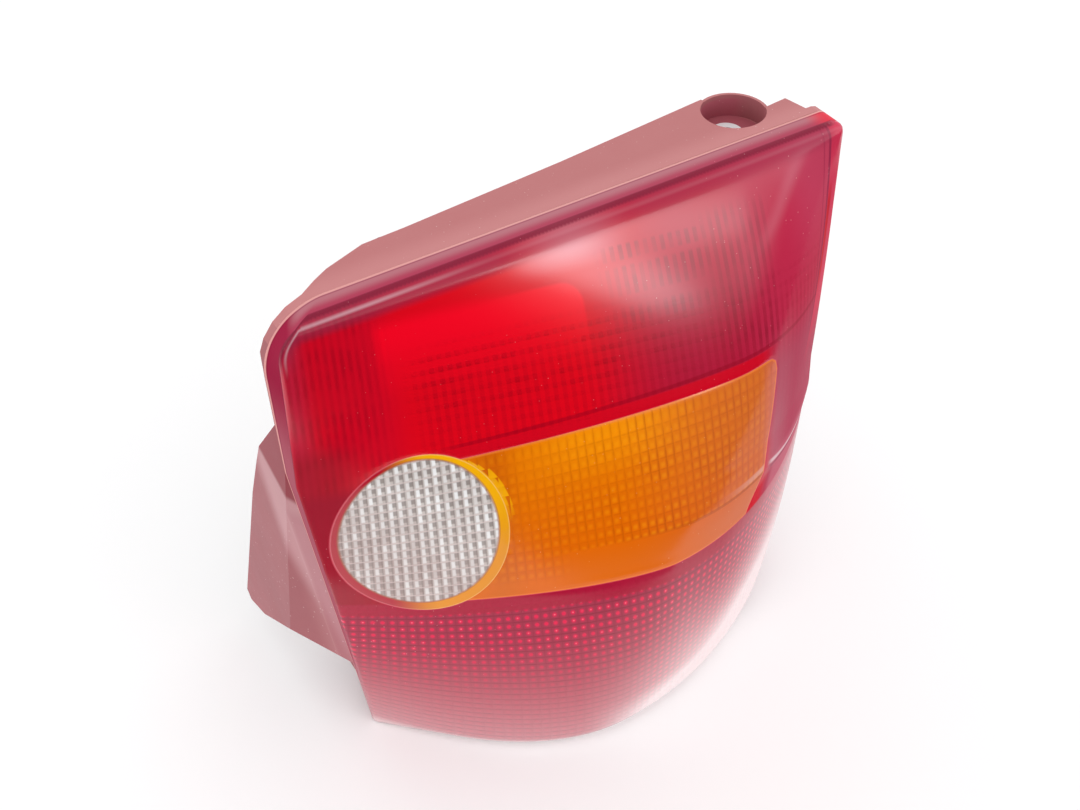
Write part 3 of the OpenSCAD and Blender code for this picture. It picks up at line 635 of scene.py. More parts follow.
# %% Make a shell
def make_lens(name, kind, faces, walls=()):
    """One coloured shell of the lens, with its facts as attributes."""
    places, facts, index, solid = [], [], {}, []

    def vertex(key, x, y, z, fact):
        if key not in index:
            index[key] = len(places)
            places.append(metres(x, y, z))
            facts.append(fact)
        return index[key]

    for face in faces:
        corner = []
        for i in face:
            x, h = made[i]
            depth = front_depth(x, h, seam_drop(x, h))
            corner.append(vertex(("front", i), x, -depth, tilted(x, h), lens_facts(x, h)))
        solid.append(corner[::-1])
    for wall in walls:
        solid.append([vertex(*corner) for corner in wall])
    mesh = bpy.data.meshes.new(name)
    mesh.from_pydata(places, [], solid)
    for fact in facts[0]:
        layer = mesh.attributes.new(fact, "FLOAT", "POINT")
        layer.data.foreach_set("value", [row[fact] for row in facts])
    mesh.shade_smooth()
    piece = bpy.data.objects.new(name, mesh)
    bpy.context.scene.collection.objects.link(piece)
    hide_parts("lens_" + kind)
    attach(piece, "root")
    print(name, len(mesh.vertices), "vertices", len(mesh.polygons), "faces")
    return piece


print("shells can be made")

# %% [markdown]
# ## Sorting the triangles
# Each triangle belongs to the colour that its middle lies in. No triangle
# crosses a seam, because the seams were kept as edges. Those outside the
# outline, which fill its hollows, are dropped.

# %% Sort the triangles
fields = {"red": [], "amber": [], "clear": []}
for face in triangles:
    x = sum(made[i][0] for i in face) / len(face)
    h = sum(made[i][1] for i in face) / len(face)
    if inboard_x(min(h, LENS_H)) - 0.5 <= x <= outboard_x(max(h, 0.0)) + 0.5:
        fields[region(x, h)].append(face)
print({kind: len(faces) for kind, faces in fields.items()})

# %% [markdown]
# ## Side walls of the red shell
# Red plastic also makes the walls that run back from the front to the joint
# with the housing. They are strips of quads between the rim of the front and
# the same rim on the joint plane, where the inboard corner is rounder and
# flares out a little. A last narrow ring turns inwards, so that the shell
# shows a real edge at the joint.

# %% Walls
WALL_SHARES = (0.0, 0.08, 0.25, 0.45, 0.65, 0.82, 0.94, 1.0)
TURNED_IN = 1.5
RIM_WALL = 3.8
lookup = {(round(x, 3), round(h, 3)): i for i, (x, h) in enumerate(made)}
middle = (LENS_W / 2, LENS_H / 2)


def wall_corner(rim_index, share):
    """A corner of the wall strip: key, place and facts."""
    x, h = rim[rim_index]
    number = lookup[(round(x, 3), round(h, 3))]
    x, h = made[number]
    if share == 0.0:
        return (("front", number), x, -front_depth(x, h), tilted(x, h), lens_facts(x, h))
    low, high = inboard_x(h), outboard_x(h)
    across_share = (x - low) / max(high - low, 1e-6)
    back_x = joint_x(h) + (high - joint_x(h)) * across_share
    depth_share = min(share, 1.0)
    place_x = x + (back_x - x) * depth_share
    place_h = h
    if share > 1.0:
        dx, dz = middle[0] - place_x, middle[1] - place_h
        length = math.hypot(dx, dz)
        place_x += dx / length * RIM_WALL
        place_h += dz / length * RIM_WALL
    depth = front_depth(x, h) * (1 - depth_share)
    fact = lens_facts(x, h, depth_share)
    return ((rim_index, share), place_x, -depth, tilted(place_x, place_h), fact)


walls = []
for i in range(len(rim)):
    j = (i + 1) % len(rim)
    for a, b in zip(WALL_SHARES, WALL_SHARES[1:] + (TURNED_IN,)):
        walls.append([wall_corner(i, a), wall_corner(j, a), wall_corner(j, b), wall_corner(i, b)])
red_lens = make_lens("red_lens", "red", fields["red"], walls)
amber_lens = make_lens("amber_lens", "amber", fields["amber"])
clear_lens = make_lens("clear_lens", "clear", fields["clear"])

# %% [markdown]
# ## Lens materials
# A lens colour is a clear, glossy outer skin over optics that lie three
# millimetres deeper. Real transmission would show the dark, hollow lamp and
# needs many light bounces, so the base is opaque here, in the colour that the
# optics send back, under a coat with its own smooth surface. The base colour
# is worked out from the stored distances, region by region, and the pillows
# bump its normal. What a material doesn't vary sits on the shader's sockets.

# %% Material starter
PLASTIC_IOR = 1.45


def new_material(name, roughness=0.5, metallic=0.0, coat=0.0, coat_roughness=0.03, specular=0.5):
    """A node material with a Principled shader whose constants sit on its own sockets."""
    material = bpy.data.materials.new(name)
    material.use_nodes = True
    net = Net(material.node_tree)
    shader = material.node_tree.nodes["Principled BSDF"]
    constants = {"Roughness": roughness, "Metallic": metallic, "Coat Weight": coat,
                 "Coat Roughness": coat_roughness, "Specular IOR Level": specular, "IOR": PLASTIC_IOR}
    for socket, value in constants.items():
        shader.inputs[socket].default_value = value
    return material, net, shader.inputs


def bump(net, shader, height, distance):
    node = net.add("ShaderNodeBump")
    node.inputs["Distance"].default_value = distance
    net.put(node.inputs["Height"], height)
    net.put(shader["Normal"], node.outputs["Normal"])


print("materials can start")

# %% [markdown]
# ## Places on the red lens
# The red shell is one moulding, but its optics make several fields of it: an
# upper field in front of the tail and stop lamp, a lower field of round dots,
# and the plain walls. Attribute nodes read what each point knows, and a few
# sums turn that into masks. The rows of the upper optics lean, so they use a
# height that also grows towards the outboard end.

# %% Red lens: places
LENS_ROUGHNESS = 0.4
SKIN_ROUGHNESS = 0.16
PILLOW_RELIEF = 0.0004
SEAM_H = 100.5
ROW_LEAN = 0.09
red_material, net, shader = new_material("red lens plastic", LENS_ROUGHNESS, coat_roughness=SKIN_ROUGHNESS,
                                         specular=0.0)
height = net.attribute("height")
across = net.attribute("across")
wall = net.attribute("wall")
sloped = net.math("MULTIPLY_ADD", across, ROW_LEAN, height)
is_lower = net.step(height, SEAM_H + 1.0, SEAM_H - 1.0)
is_wall = net.step(wall, 0.0, 0.06)
bar = net.between(net.math("FRACT", net.attribute("column")), 0.28, 0.78, 0.16)
patch = net.step(net.noise(90.0, 2.0, net.position()), 0.35, 0.65, 0.35, 1.0)
print("places ready, seam at", SEAM_H, "mm")

# %% [markdown]
# ## Tones of the upper field
# Fresh red plastic is nearly pure red. Past the first bowl the lamp behind it
# is in shade and the red turns crimson. At the outboard end a pinkish painted
# reflection makes it dull, and just under the top edge over the bowl a dark
# band is painted shade. One colour ramp along the lens could do this, but the
# tones also change with height. So each is laid over the last like a thin wash,
# with paint(), and soft ends keep any border from showing.

# %% Red lens: tones of the upper field
BOWL_END = 112.0
SHADE_END = 172.0
upper = net.blend(net.step(across, 2.0, 12.0), colour("#C81838"), colour("#D80422"))
upper = net.paint(upper, "#E6031A", net.step(across, 32.0, 48.0))
under_top = net.step(sloped, 255.0, 225.0)
upper = net.paint(upper, "#B0102A", net.step(across, BOWL_END, SHADE_END), under_top, 0.9)
upper = net.paint(upper, "#B41A3E", net.step(across, BOWL_END, SHADE_END, 0.0, 0.75))
# painted reflection: a pinkish haze over the outboard end of the upper field
upper = net.paint(upper, "#C22C4C", net.step(across, 180.0, 212.0, 0.0, 0.9))
upper = net.paint(upper, "#C64662", net.step(across, 214.0, 240.0), net.step(height, 196.0, 240.0), 0.8)
upper = net.paint(upper, "#A80824", net.step(across, 30.0, 10.0), net.step(height, 206.0, 190.0), 0.8)
# painted shade: a dark band just under the top edge, above the lit patch
upper = net.paint(upper, "#7C1C40", net.step(height, 249.5, 253.5), net.step(across, BOWL_END, 84.0), 0.45)
print("upper tones ready")

# %% [markdown]
# ## The lit patch over the bowl
# Daylight that enters the lens comes back from the silvered bowl behind it, as
# a clear bright patch with one rounded corner. A rounded corner needs only one
# distance: how far a point lies beyond the two straight sides at once. The
# patch is crisp near its corner, soft along its top, and fades out downwards,
# where the bowl turns away.

# %% Red lens: lit patch
BOWL_TOP = 240.5
beyond_side = net.math("MAXIMUM", net.math("SUBTRACT", across, BOWL_END), 0.0)
beyond_top = net.math("MAXIMUM", net.math("SUBTRACT", sloped, BOWL_TOP), 0.0)
outside = net.length(beyond_side, beyond_top)
soft_edge = net.step(outside, 13.5, 6.5)
lit_edge = net.blend(net.step(across, 74.0, BOWL_END), soft_edge, net.step(outside, 10.4, 8.6))
fading_down = net.product(net.step(sloped, 226.0, 246.0, 0.35, 1.0), net.step(sloped, 216.0, 228.0))
upper = net.paint(upper, "#FF0222", net.step(across, 33.0, 39.0), lit_edge, fading_down)
print("lit patch up to", BOWL_TOP, "mm")

# %% [markdown]
# ## Flutes and rows
# Near the inboard edge the inside of the lens has upright flutes. Further out
# its optics stand in rows, and each of them shows as a short dark dash, with
# fine upright lines between the columns below. A slow noise weakens them here
# and there, because a pattern that is quite even looks printed. Along the top
# a painted highlight, the pale peak of the reflection on the crown, lies over
# the optics, so it comes between the two.

# %% Red lens: flutes, dashes and lines
FLUTES_PER_MM = 0.31
ROW_PITCH = 5.5
OPTICS_DARK = "#8C0018"
flute = net.math("FRACT", net.math("MULTIPLY", net.attribute("along"), FLUTES_PER_MM))
flute_line = net.product(net.between(flute, 0.3, 0.8, 0.4), net.step(across, 44.0, 24.0))
upper = net.paint(upper, OPTICS_DARK, flute_line, patch, 0.42)
# painted highlight: the pale peak of the reflection on the crown
painted_highlight_peak = net.between(across, 106.0, 136.0, 30.0)
upper = net.paint(upper, "#ECB2BE", painted_highlight_peak, net.step(sloped, 252.0, 262.0), 0.5)
row = net.math("FRACT", net.math("DIVIDE", sloped, ROW_PITCH))
dash = net.product(net.between(row, 0.05, 0.45, 0.2), net.step(bar, 0.0, 1.0, 0.45, 1.0))
dash = net.product(dash, net.step(across, 40.0, 58.0), net.step(across, 205.0, 120.0, 0.3, 1.0))
dash = net.product(dash, net.step(sloped, 242.0, 226.0), net.step(sloped, 196.0, 226.0, 0.4, 1.0), patch)
upper = net.paint(upper, OPTICS_DARK, dash, 0.34)
upper = net.paint(upper, OPTICS_DARK, bar, net.step(across, 44.0, 56.0), net.step(sloped, 232.0, 215.0), 0.17)
print("a row every", ROW_PITCH, "mm")

# %% [markdown]
# ## Bars of the stop lamp optics
# Past the bowl the optics are taller. They show as rows of dark upright bars,
# short ones first and then long ones, all on the columns of the lens. Each row
# is a band of height, and the strongest row wins where two of them meet.

# %% Red lens: bars
upper_rows = net.math("MAXIMUM", net.between(sloped, 239.5, 250.5, 1.6),
                      net.between(sloped, 253.0, 258.5, 1.4))
lower_row = net.between(sloped, 228.0, 235.0, 2.0)
long_bars = net.product(net.step(across, 172.0, 188.0), net.between(sloped, 205.0, 262.0, 8.0))
tall = net.product(upper_rows, net.step(across, 196.0, 170.0))
tall = net.math("MAXIMUM", tall, net.product(lower_row, 0.8))
tall = net.math("MAXIMUM", tall, net.product(long_bars, 0.8))
in_bars = net.product(net.step(across, 128.0, 142.0), net.step(across, 214.0, 206.0))
upper = net.paint(upper, "#6C1424", tall, in_bars, bar, patch, 0.42)
print("bars ready")

# %% [markdown]
# ## Painted streak, band and outboard edge
# A faint pale streak, a painted reflection, crosses the upper outboard corner
# on the slant. A plain red band without optics runs along the top of the amber
# window and drops at its inboard end. At the outboard edge the front turns over
# into the wall: two thin dark lines follow a shallow parabola there, with a
# clear red wedge beside them.

# %% Red lens: painted streak, band and edge
# painted reflection: a faint pale streak on the slant
beside_streak = net.math("MULTIPLY_ADD", height, -0.94, net.math("ADD", across, 4.0))
painted_streak = net.product(net.between(beside_streak, -4.0, 3.0, 9.0), net.between(height, 228.0, 252.0, 14.0))
upper = net.paint(upper, "#E8A8B4", painted_streak, 0.15)
band = net.blend(net.step(across, 40.0, 62.0), net.step(height, 178.0, 168.0), net.step(height, 184.6, 183.4))
band_colour = net.blend(net.step(across, 20.0, 60.0), colour("#A00A28"), colour("#D8041E"))
upper = net.paint(upper, "#90001C", net.between(height, 184.2, 186.0, 0.8), net.step(across, 50.0, 66.0), 0.5)
upper = net.blend(net.product(band, net.step(across, 212.0, 196.0), 0.85), upper, band_colour)
upper = net.paint(upper, "#B0405A", net.step(across, 200.0, 210.0), net.step(height, 196.0, 168.0), 0.8)

EDGE_TOP_H = 252.0
EDGE_X = 251.0
EDGE_BEND = -0.0018
below_top = net.math("MAXIMUM", net.math("SUBTRACT", EDGE_TOP_H, height), 0.0)
edge_x = net.math("MULTIPLY_ADD", net.math("POWER", below_top, 2.0), EDGE_BEND, EDGE_X)
past_edge = net.math("SUBTRACT", across, edge_x)
upper = net.paint(upper, "#D43454", net.step(past_edge, -0.3, 0.5), net.step(height, 150.0, 180.0))
wedge = net.product(net.between(past_edge, 0.4, 3.0, 0.8), net.between(height, 188.0, 230.0, 14.0))
upper = net.paint(upper, "#C40010", wedge, 0.8)
inner_line = net.product(net.between(past_edge, -4.4, -3.6, 0.5), 0.5)
edge_lines = net.math("MAXIMUM", net.between(past_edge, -1.2, 0.1, 0.5), inner_line)
upper = net.paint(upper, "#80143C", edge_lines, net.step(height, 160.0, 190.0, 0.0, 0.6))
print("edge bends by", EDGE_BEND, "per square millimetre")

# %% [markdown]
# ## The lower field
# Below the amber window the optics are small round lenses in rows that close
# up downwards. Each shows a bright red dot with, here and there, a tiny glint,
# and the gaps between the rows are dark. Modelling a thousand such domes would
# take many triangles for something that lies inside the plastic, so the optics
# group draws them.

# %% Red lens: lower field
GAP_DARK = "#7C1430"
optics = net.use(optics_group, Column=net.attribute("column"), Row=net.attribute("dots"))
dot_share = net.math("MAXIMUM", net.step(height, 34.0, 80.0, 0.12, 1.0),
                     net.step(across, 110.0, 150.0, 0.0, 0.8))
lower = net.blend(net.step(height, 30.0, 80.0), colour("#B43C50"), colour("#A82444"))
lower = net.paint(lower, GAP_DARK, optics["Cross"], net.step(optics["Random"], 0.0, 1.0, 0.5, 1.0), 0.55)
lower = net.paint(lower, GAP_DARK, net.step(optics["Dome"], 0.4, 0.0), dot_share, 0.25)
lower = net.paint(lower, "#E8104A", net.step(optics["Middle"], 0.34, 0.14), dot_share)
glint = net.product(net.step(optics["Middle"], 0.12, 0.05), net.step(optics["Random"], 0.4, 0.8))
lower = net.paint(lower, "#FFB0C4", glint, net.step(height, 50.0, 80.0, 0.0, 0.28))
lower = net.paint(lower, "#B01438", net.step(height, 91.0, 93.0))
base = net.blend(is_lower, upper, lower)
print("lower field ready")

# %% [markdown]
# ## Painted backlight in the lower field
# The lower part of the lens is painted milky and pale, most of all low down and
# towards the outboard side. This is painted light: the white sheet shows
# through the thin lens from behind and mirrors in it. The pale paint grows with
# two distances that are added and raised to a power, so that it starts gently.
# It is held back a little where the rows of dots still show, and stronger at
# the foot.

# %% Red lens: painted backlight
BACKLIGHT_TOP_H = 100.0
BACKLIGHT_DEPTH = 75.0
# painted light: the white sheet shines through the lower lens and mirrors in it
outward = net.math("MAXIMUM", net.math("MULTIPLY_ADD", across, 0.01, -1.0), 0.0)
downward = net.math("MULTIPLY_ADD", height, -1 / BACKLIGHT_DEPTH, BACKLIGHT_TOP_H / BACKLIGHT_DEPTH)
painted_backlight = net.product(net.math("MAXIMUM", net.math("ADD", outward, downward), 0.0), 0.5)
painted_backlight = net.math("POWER", painted_backlight, 2.6, clamp=True)
held = net.product(net.step(across, 150.0, 190.0), net.between(height, 36.0, 84.0, 30.0))
painted_backlight = net.product(painted_backlight, net.math("MULTIPLY_ADD", held, -0.36, 1.0))
foot = net.product(net.step(height, 28.0, 8.0, 0.0, 0.5), net.step(across, 100.0, 150.0))
low_edge = net.product(net.step(height, 9.0, 2.0), net.step(across, 20.0, 110.0, 0.25, 0.75))
painted_backlight = net.math("ADD", painted_backlight, net.math("ADD", foot, low_edge))
base = net.paint(base, "#FBF0F0", net.math("MINIMUM", painted_backlight, 0.86), is_lower)
print("fading ready")

# %% [markdown]
# ## Crease and rolled edges
# A low crease runs from the foot of the amber window to the outboard edge. It
# is in the form of the shell already, and a painted highlight above it and a
# painted shade line below it help it to read. Along the top the front rolls
# over: a dull crimson there, with a painted highlight line near the edge and a
# dark one at the very edge.

# %% Red lens: crease and rim
beside = net.product(net.step(across, 206.0, 212.0), net.between(height, 92.0, 122.0, 8.0))
base = net.paint(base, "#D88090", beside, 0.4)
crease = net.math("ADD", net.math("MULTIPLY_ADD", across, 0.24, height), -170.0)
crease_share = net.product(net.step(across, 203.0, 208.0), net.step(height, 90.0, 100.0))
# painted highlight above the crease, then a painted shade line below it
base = net.paint(base, "#F4DCE0", net.between(crease, 0.3, 2.6, 1.6), crease_share, 0.6)
base = net.paint(base, "#8C2848", net.between(crease, -2.6, -0.6, 1.0), crease_share, 0.6)
rim_gap = net.attribute("rim")
near_top = net.step(height, 236.0, 252.0)
over_edge = net.product(net.step(rim_gap, 8.5, 2.0), near_top, net.step(across, 256.0, 248.0))
base = net.paint(base, "#98304A", over_edge, 0.6)
# painted highlight: a pale line just under the top edge
painted_top_highlight = net.product(net.between(rim_gap, 1.3, 2.2, 0.9), near_top, net.step(across, 90.0, 30.0, 0.15, 1.0))
base = net.paint(base, "#E4C4CC", painted_top_highlight, 0.42)
edge_line = net.product(net.step(rim_gap, 0.9, 0.3), near_top, net.step(across, 257.0, 252.0))
base = net.paint(base, "#7C1030", edge_line, 0.85)
print("crease and rim ready")

# %% [markdown]
# ## Walls, seams and dust
# The walls have no optics behind them, so they show the plain plastic: crimson
# high up on the inboard side, duller below, bright at the outboard edge. Two
# thin lines run round them, and the edge at the joint is pale. Where the
# colours meet on the front, the moulding leaves a thin bright seam.

# %% Red lens: walls, seams and dust
wall_colour = net.blend(net.step(height, 185.0, 235.0), colour("#AC5C6A"), colour("#9C2040"))
wall_top = net.blend(net.step(wall, 0.15, 0.7), colour("#AC4058"), colour("#B4707A"))
wall_colour = net.blend(net.step(height, 253.0, 257.0), wall_colour, wall_top)
wall_colour = net.paint(wall_colour, "#E03044", net.step(across, 244.0, 257.0))
wall_colour = net.paint(wall_colour, "#C4949A", net.step(height, 60.0, 10.0))
near_line = net.between(wall, 0.02, 0.07, 0.03)
far_line = net.between(wall, 0.80, 0.84, 0.03)
wall_line = net.math("MAXIMUM", near_line, far_line)
wall_colour = net.paint(wall_colour, "#7C1838", wall_line, 0.6)
base = net.blend(is_wall, base, wall_colour)
base = net.paint(base, "#DC9C98", net.step(wall, 0.86, 0.9))
gaps = [net.math("ABSOLUTE", net.attribute(name)) for name in ("amber_gap", "oval_gap")]
seam = net.step(net.math("MINIMUM", *gaps), 0.5, 0.2)
base = net.paint(base, "#F06070", seam, net.math("SUBTRACT", 0.5, is_wall))
dust = net.use(dust_group, Size=260.0, Cover=0.25)
base = net.paint(base, "#F0A8B0", dust["Specks"], 0.4)
net.put(shader["Base Color"], base)
print("walls and seams ready")

# %% [markdown]
# ## How much polish is left
# A new lens mirrors its surroundings everywhere. This one has lost most of its
# polish at the outboard end and low down, where the skin is weathered, and
# keeps it on the upper crown. A mask on the coat does that, and the bump under
# the coat turns from dashes to domes at the seam between the fields.

# %% Red lens: polish and relief
LOW_SHIFT = 50.0
shifted = net.math("ADD", across, net.step(height, 95.0, 125.0, LOW_SHIFT, 0.0))
weathered = net.product(net.step(shifted, 196.0, 226.0), net.step(height, 256.0, 232.0))
upper_polish = net.step(height, 196.0, 222.0, 0.75, 1.0)
polish = net.blend(weathered, upper_polish, net.step(height, 25.0, 70.0, 0.3, 0.12))
inboard_end = net.product(net.step(across, 36.0, 14.0), net.between(height, 118.0, 208.0, 18.0))
polish = net.product(polish, net.math("MULTIPLY_ADD", inboard_end, -0.7, 1.0))
polish = net.product(polish, net.math("MULTIPLY_ADD", over_edge, -0.6, 1.0))
net.put(shader["Coat Weight"], net.blend(is_wall, polish, net.step(across, 30.0, 120.0, 0.04, 0.25)))
relief = net.blend(is_lower, net.math("MULTIPLY", dash, -1.0), optics["Dome"])
bump(net, shader, net.product(relief, net.math("SUBTRACT", 1.0, is_wall)), PILLOW_RELIEF)
print("material:", red_material.name)

# %% [markdown]
# ## Amber lens
# The turn lamp's window has square pillows on the same columns as the red, in
# rows that are taller in the uppermost one. Each pillow has a painted highlight
# on the side that faces the bowl, a thin dark line beside it and painted shade
# on its far side. Below the crease the inside is smooth. The tone is warmest in
# the middle of the bowl, where painted light stands for what the bowl sends
# back, and turns pinkish towards the outboard end, where the skin is dull.

# %% Amber lens: rows and tones
FIRST_ROW_H = 171.0
ROW_H = 5.2
FIRST_ROW_TALL = 7.6
amber_material, net, shader = new_material("amber lens plastic", LENS_ROUGHNESS,
                                           coat_roughness=SKIN_ROUGHNESS, specular=0.0)
height = net.attribute("height")
across = net.attribute("across")
above_row = net.math("SUBTRACT", height, FIRST_ROW_H)
row_number = net.blend(net.step(height, 170.6, 171.4), net.math("DIVIDE", above_row, ROW_H),
                       net.math("DIVIDE", above_row, FIRST_ROW_TALL))
pillows = net.use(optics_group, Column=net.attribute("column"), Row=row_number)
amber = net.blend(net.step(height, 120.0, 172.0), colour("#E86A00"), colour("#F07C00"))
# painted light: the bowl sends light back through the middle of the window
amber = net.paint(amber, "#FF9404", net.between(across, 96.0, 152.0, 40.0), net.step(height, 150.0, 176.0))
amber = net.paint(amber, "#DC6804", net.between(across, 66.0, 80.0, 14.0))
print("rows every", ROW_H, "mm")

# %% [markdown]
# ## Pillows in the amber
# One mask says how strongly the pillows show: not at all where the inside is
# smooth, patchy by a slow noise, and less on the inboard side. The painted
# highlight, the border and the painted shade of each pillow all take it, so
# they come and go together, as they do on a lens that has been out in the sun.

# %% Amber lens: pillows
smooth = net.product(net.step(height, 121.5, 119.5), net.step(across, 92.0, 104.0))
faint = net.product(net.step(height, 104.0, 112.0), net.math("SUBTRACT", 1.0, smooth))
strength = net.product(faint, net.step(net.noise(70.0, 2.0, net.position()), 0.35, 0.65, 0.4, 1.0))
strength = net.product(strength, net.step(across, 84.0, 145.0, 0.4, 1.0))
# painted highlight on the side of each pillow that faces the bowl
shine = net.product(net.between(pillows["Lower"], 0.4, 0.8, 0.4), net.between(pillows["Side"], 0.2, 0.7, 0.4))
amber = net.paint(amber, "#FFA60C", shine, strength, 0.42)
amber = net.paint(amber, "#A43C00", pillows["Line"], strength, 0.2)
# painted shade on the far side of each pillow
amber = net.paint(amber, "#983400", net.step(pillows["Side"], 0.66, 0.95), strength, 0.3)
amber = net.paint(amber, "#E07830", net.step(height, 124.0, 108.0), 0.2)
print("pillows ready")

# %% [markdown]
# ## Rim, crease and seam of the amber
# Beside the oval the lens is thicker and glows yellow, with a ragged edge that
# follows whole pillows, so its reach takes the random number of each of them.
# The crease of the red goes on here as a painted shade line and a painted
# highlight line above it, and a thin bright edge marks the seam.

# %% Amber lens: yellow edge, crease and seam
reach = net.product(net.math("ADD", pillows["Random"], 0.1), 3.0)
yellow = net.step(net.math("SUBTRACT", net.attribute("oval_gap"), reach), 0.3, -0.3)
amber = net.paint(amber, "#FFB608", yellow, net.step(height, 140.0, 156.0), 0.85)
amber = net.paint(amber, "#C8603C", net.step(across, 120.0, 205.0, 0.0, 0.55))
amber = net.paint(amber, "#D4685C", net.step(across, 196.0, 206.0, 0.0, 0.6))
# painted shade line below the crease and painted highlight line above it
crease_shade_line = net.product(net.between(height, 119.6, 121.2, 0.6), net.step(across, 110.0, 190.0))
amber = net.paint(amber, "#8C3014", crease_shade_line, 0.4)
crease_highlight_line = net.product(net.between(height, 121.6, 124.6, 1.6), net.step(across, 168.0, 202.0))
amber = net.paint(amber, "#F0C0B0", crease_highlight_line, 0.5)
amber = net.paint(amber, "#F88838", net.step(net.attribute("amber_gap"), -1.1, -0.4), 0.6)
dust = net.use(dust_group, Size=240.0, Cover=0.2)
amber = net.paint(amber, "#FFE0A0", dust["Specks"], 0.4)
net.put(shader["Base Color"], amber)
net.put(shader["Coat Weight"], net.step(across, 150.0, 200.0, 0.75, 0.4))
bump(net, shader, net.product(pillows["Dome"], faint), PILLOW_RELIEF)
print("material:", amber_material.name)

# %% [markdown]
# ## Clear insert
# The oval in front of the reversing lamp is colourless, and what shows is the
# silver bowl, broken up by the pillows: in each a white upright patch, a grey
# notch beside it and a dark side. They glint most towards the upper outboard
# side. Thin pinkish lines run between the rows. Real refraction would need the
# pillows as geometry and clean paths for the light, so the parts of one pillow
# are drawn from the optics group instead.

# %% Clear lens: pillows
PILLOW_H = 4.8
clear_material, net, shader = new_material("clear lens plastic", 0.3, coat=0.8, coat_roughness=0.12,
                                           specular=0.2)
height = net.attribute("height")
across = net.attribute("across")
pillows = net.use(optics_group, Column=net.attribute("column"), Row=net.math("DIVIDE", height, PILLOW_H))
side = pillows["Side"]
low = pillows["Lower"]
towards = net.step(net.math("MULTIPLY_ADD", across, 0.8, height), 150.0, 205.0)
grey = net.blend(towards, colour("#B8A29C"), colour("#CCC2BC"))
grey = net.paint(grey, "#F4F0EC", net.math("SUBTRACT", pillows["Random"], 0.3), 0.4)
pillar = net.product(net.between(side, 0.14, 0.54, 0.16), net.between(low, 0.1, 0.9, 0.2))
grey = net.paint(grey, "#FCF8F6", pillar, net.math("MULTIPLY_ADD", pillows["Random"], 0.4, 0.35))
notch = net.product(net.between(side, 0.5, 0.92, 0.16), net.between(low, 0.1, 0.62, 0.16))
grey = net.paint(grey, "#6C605C", notch, net.math("MULTIPLY_ADD", towards, 0.3, 0.32))
grey = net.paint(grey, "#84746E", net.step(side, 0.78, 0.9), 0.5)
bright = net.product(net.between(side, 0.15, 0.5, 0.15), net.between(low, 0.15, 0.85, 0.2))
grey = net.paint(grey, "#FFFFFF", bright, towards, pillows["Random"])
grey = net.paint(grey, "#EAD6D4", pillows["Cross"], 0.55)
print("pillows of", PILLOW_H, "mm")

# %% [markdown]
# ## The lip around the insert
# The insert is let into the shell with a lip. Through it shows the colour of
# what lies behind: red on the inboard side, yellow where the amber is. A brown
# line marks its inner edge and a thin pale one its outer edge.

# %% Clear lens: lip
IN_RED = (30.0, 50.0)
inner_gap = net.attribute("inner_gap")
lip = net.step(inner_gap, -0.4, 0.3)
yellow_side = net.blend(net.step(height, 120.0, 165.0), colour("#EC9408"), colour("#FFB800"))
grey = net.blend(lip, grey, net.blend(net.step(across, *IN_RED), colour("#B80828"), yellow_side))
grey = net.paint(grey, "#A86040", net.between(inner_gap, -0.6, 0.5, 0.4), 0.5)
pale_edge = net.blend(net.step(across, *IN_RED), colour("#E87884"), colour("#FFD080"))
grey = net.blend(net.product(net.step(net.attribute("oval_gap"), -0.6, -0.2), 0.5), grey, pale_edge)
net.put(shader["Base Color"], grey)
bump(net, shader, net.product(pillows["Dome"], net.math("SUBTRACT", 1.0, lip)), PILLOW_RELIEF)
print("material:", clear_material.name)

# %% [markdown]
# ## Dressing the three lenses
# Each shell gets its own plastic, in the one material slot of its mesh.

# %% Lens slots
for piece, material in ((red_lens, red_material), (amber_lens, amber_material), (clear_lens, clear_material)):
    piece.data.materials.append(material)
    print("slot:", piece.name)

# %% [markdown]
# ## The housing
# The housing is a dusty mauve moulding, satin rather than glossy, paler on
# whatever looks up, and with a paler flange. A painted picture would need
# the solid to be unwrapped. Masks made from the place and the facing of each
# point put the tones on the right surfaces without that, and they stay crisp
# from near by.

# %% Housing: plastic
housing_material, net, shader = new_material("mauve housing plastic", 0.45, specular=0.12)
grain = net.use(grain_group, Size=900.0)
dust = net.use(dust_group, Size=320.0, Cover=0.5)
facing = net.split(net.add("ShaderNodeNewGeometry").outputs["Normal"])
place_x, place_y, place_z = net.split(net.position())
upward = net.step(facing["Z"], 0.2, 0.95)
plastic = net.blend(grain["Blotches"], colour("#9A565C"), colour("#A45C62"))
plastic = net.paint(plastic, "#BC7474", upward, 0.8)
low_front = net.product(net.step(place_y, -0.004, -0.018), net.step(place_z, -0.098, -0.11))
plastic = net.paint(plastic, "#C08488", low_front, 0.6)
plastic = net.paint(plastic, "#CC8888", net.step(place_y, -0.006, -0.018), upward, 0.5)
print("plastic ready")

# %% [markdown]
# ## The wing
# The side wing of the housing is not one tone. Its upper part lies close to
# the lens and is painted in deep red shade, down to a border that leans with
# the lens. Below the border it is paler, and the pale zone ends at a slanted
# line. Such a border is a plane through the piece, so one sum of the three
# coordinates gives the distance from it.

# %% Housing: wing
WING_LEAN = -0.35
PALE_BELOW = -0.087
SHADE_ABOVE = -0.082
wing_height = net.math("MULTIPLY_ADD", place_y, WING_LEAN, place_z)
on_wing = net.product(net.step(place_x, -0.214, -0.22), net.step(place_z, -0.04, -0.05),
                      net.step(facing["X"], -0.3, -0.6))
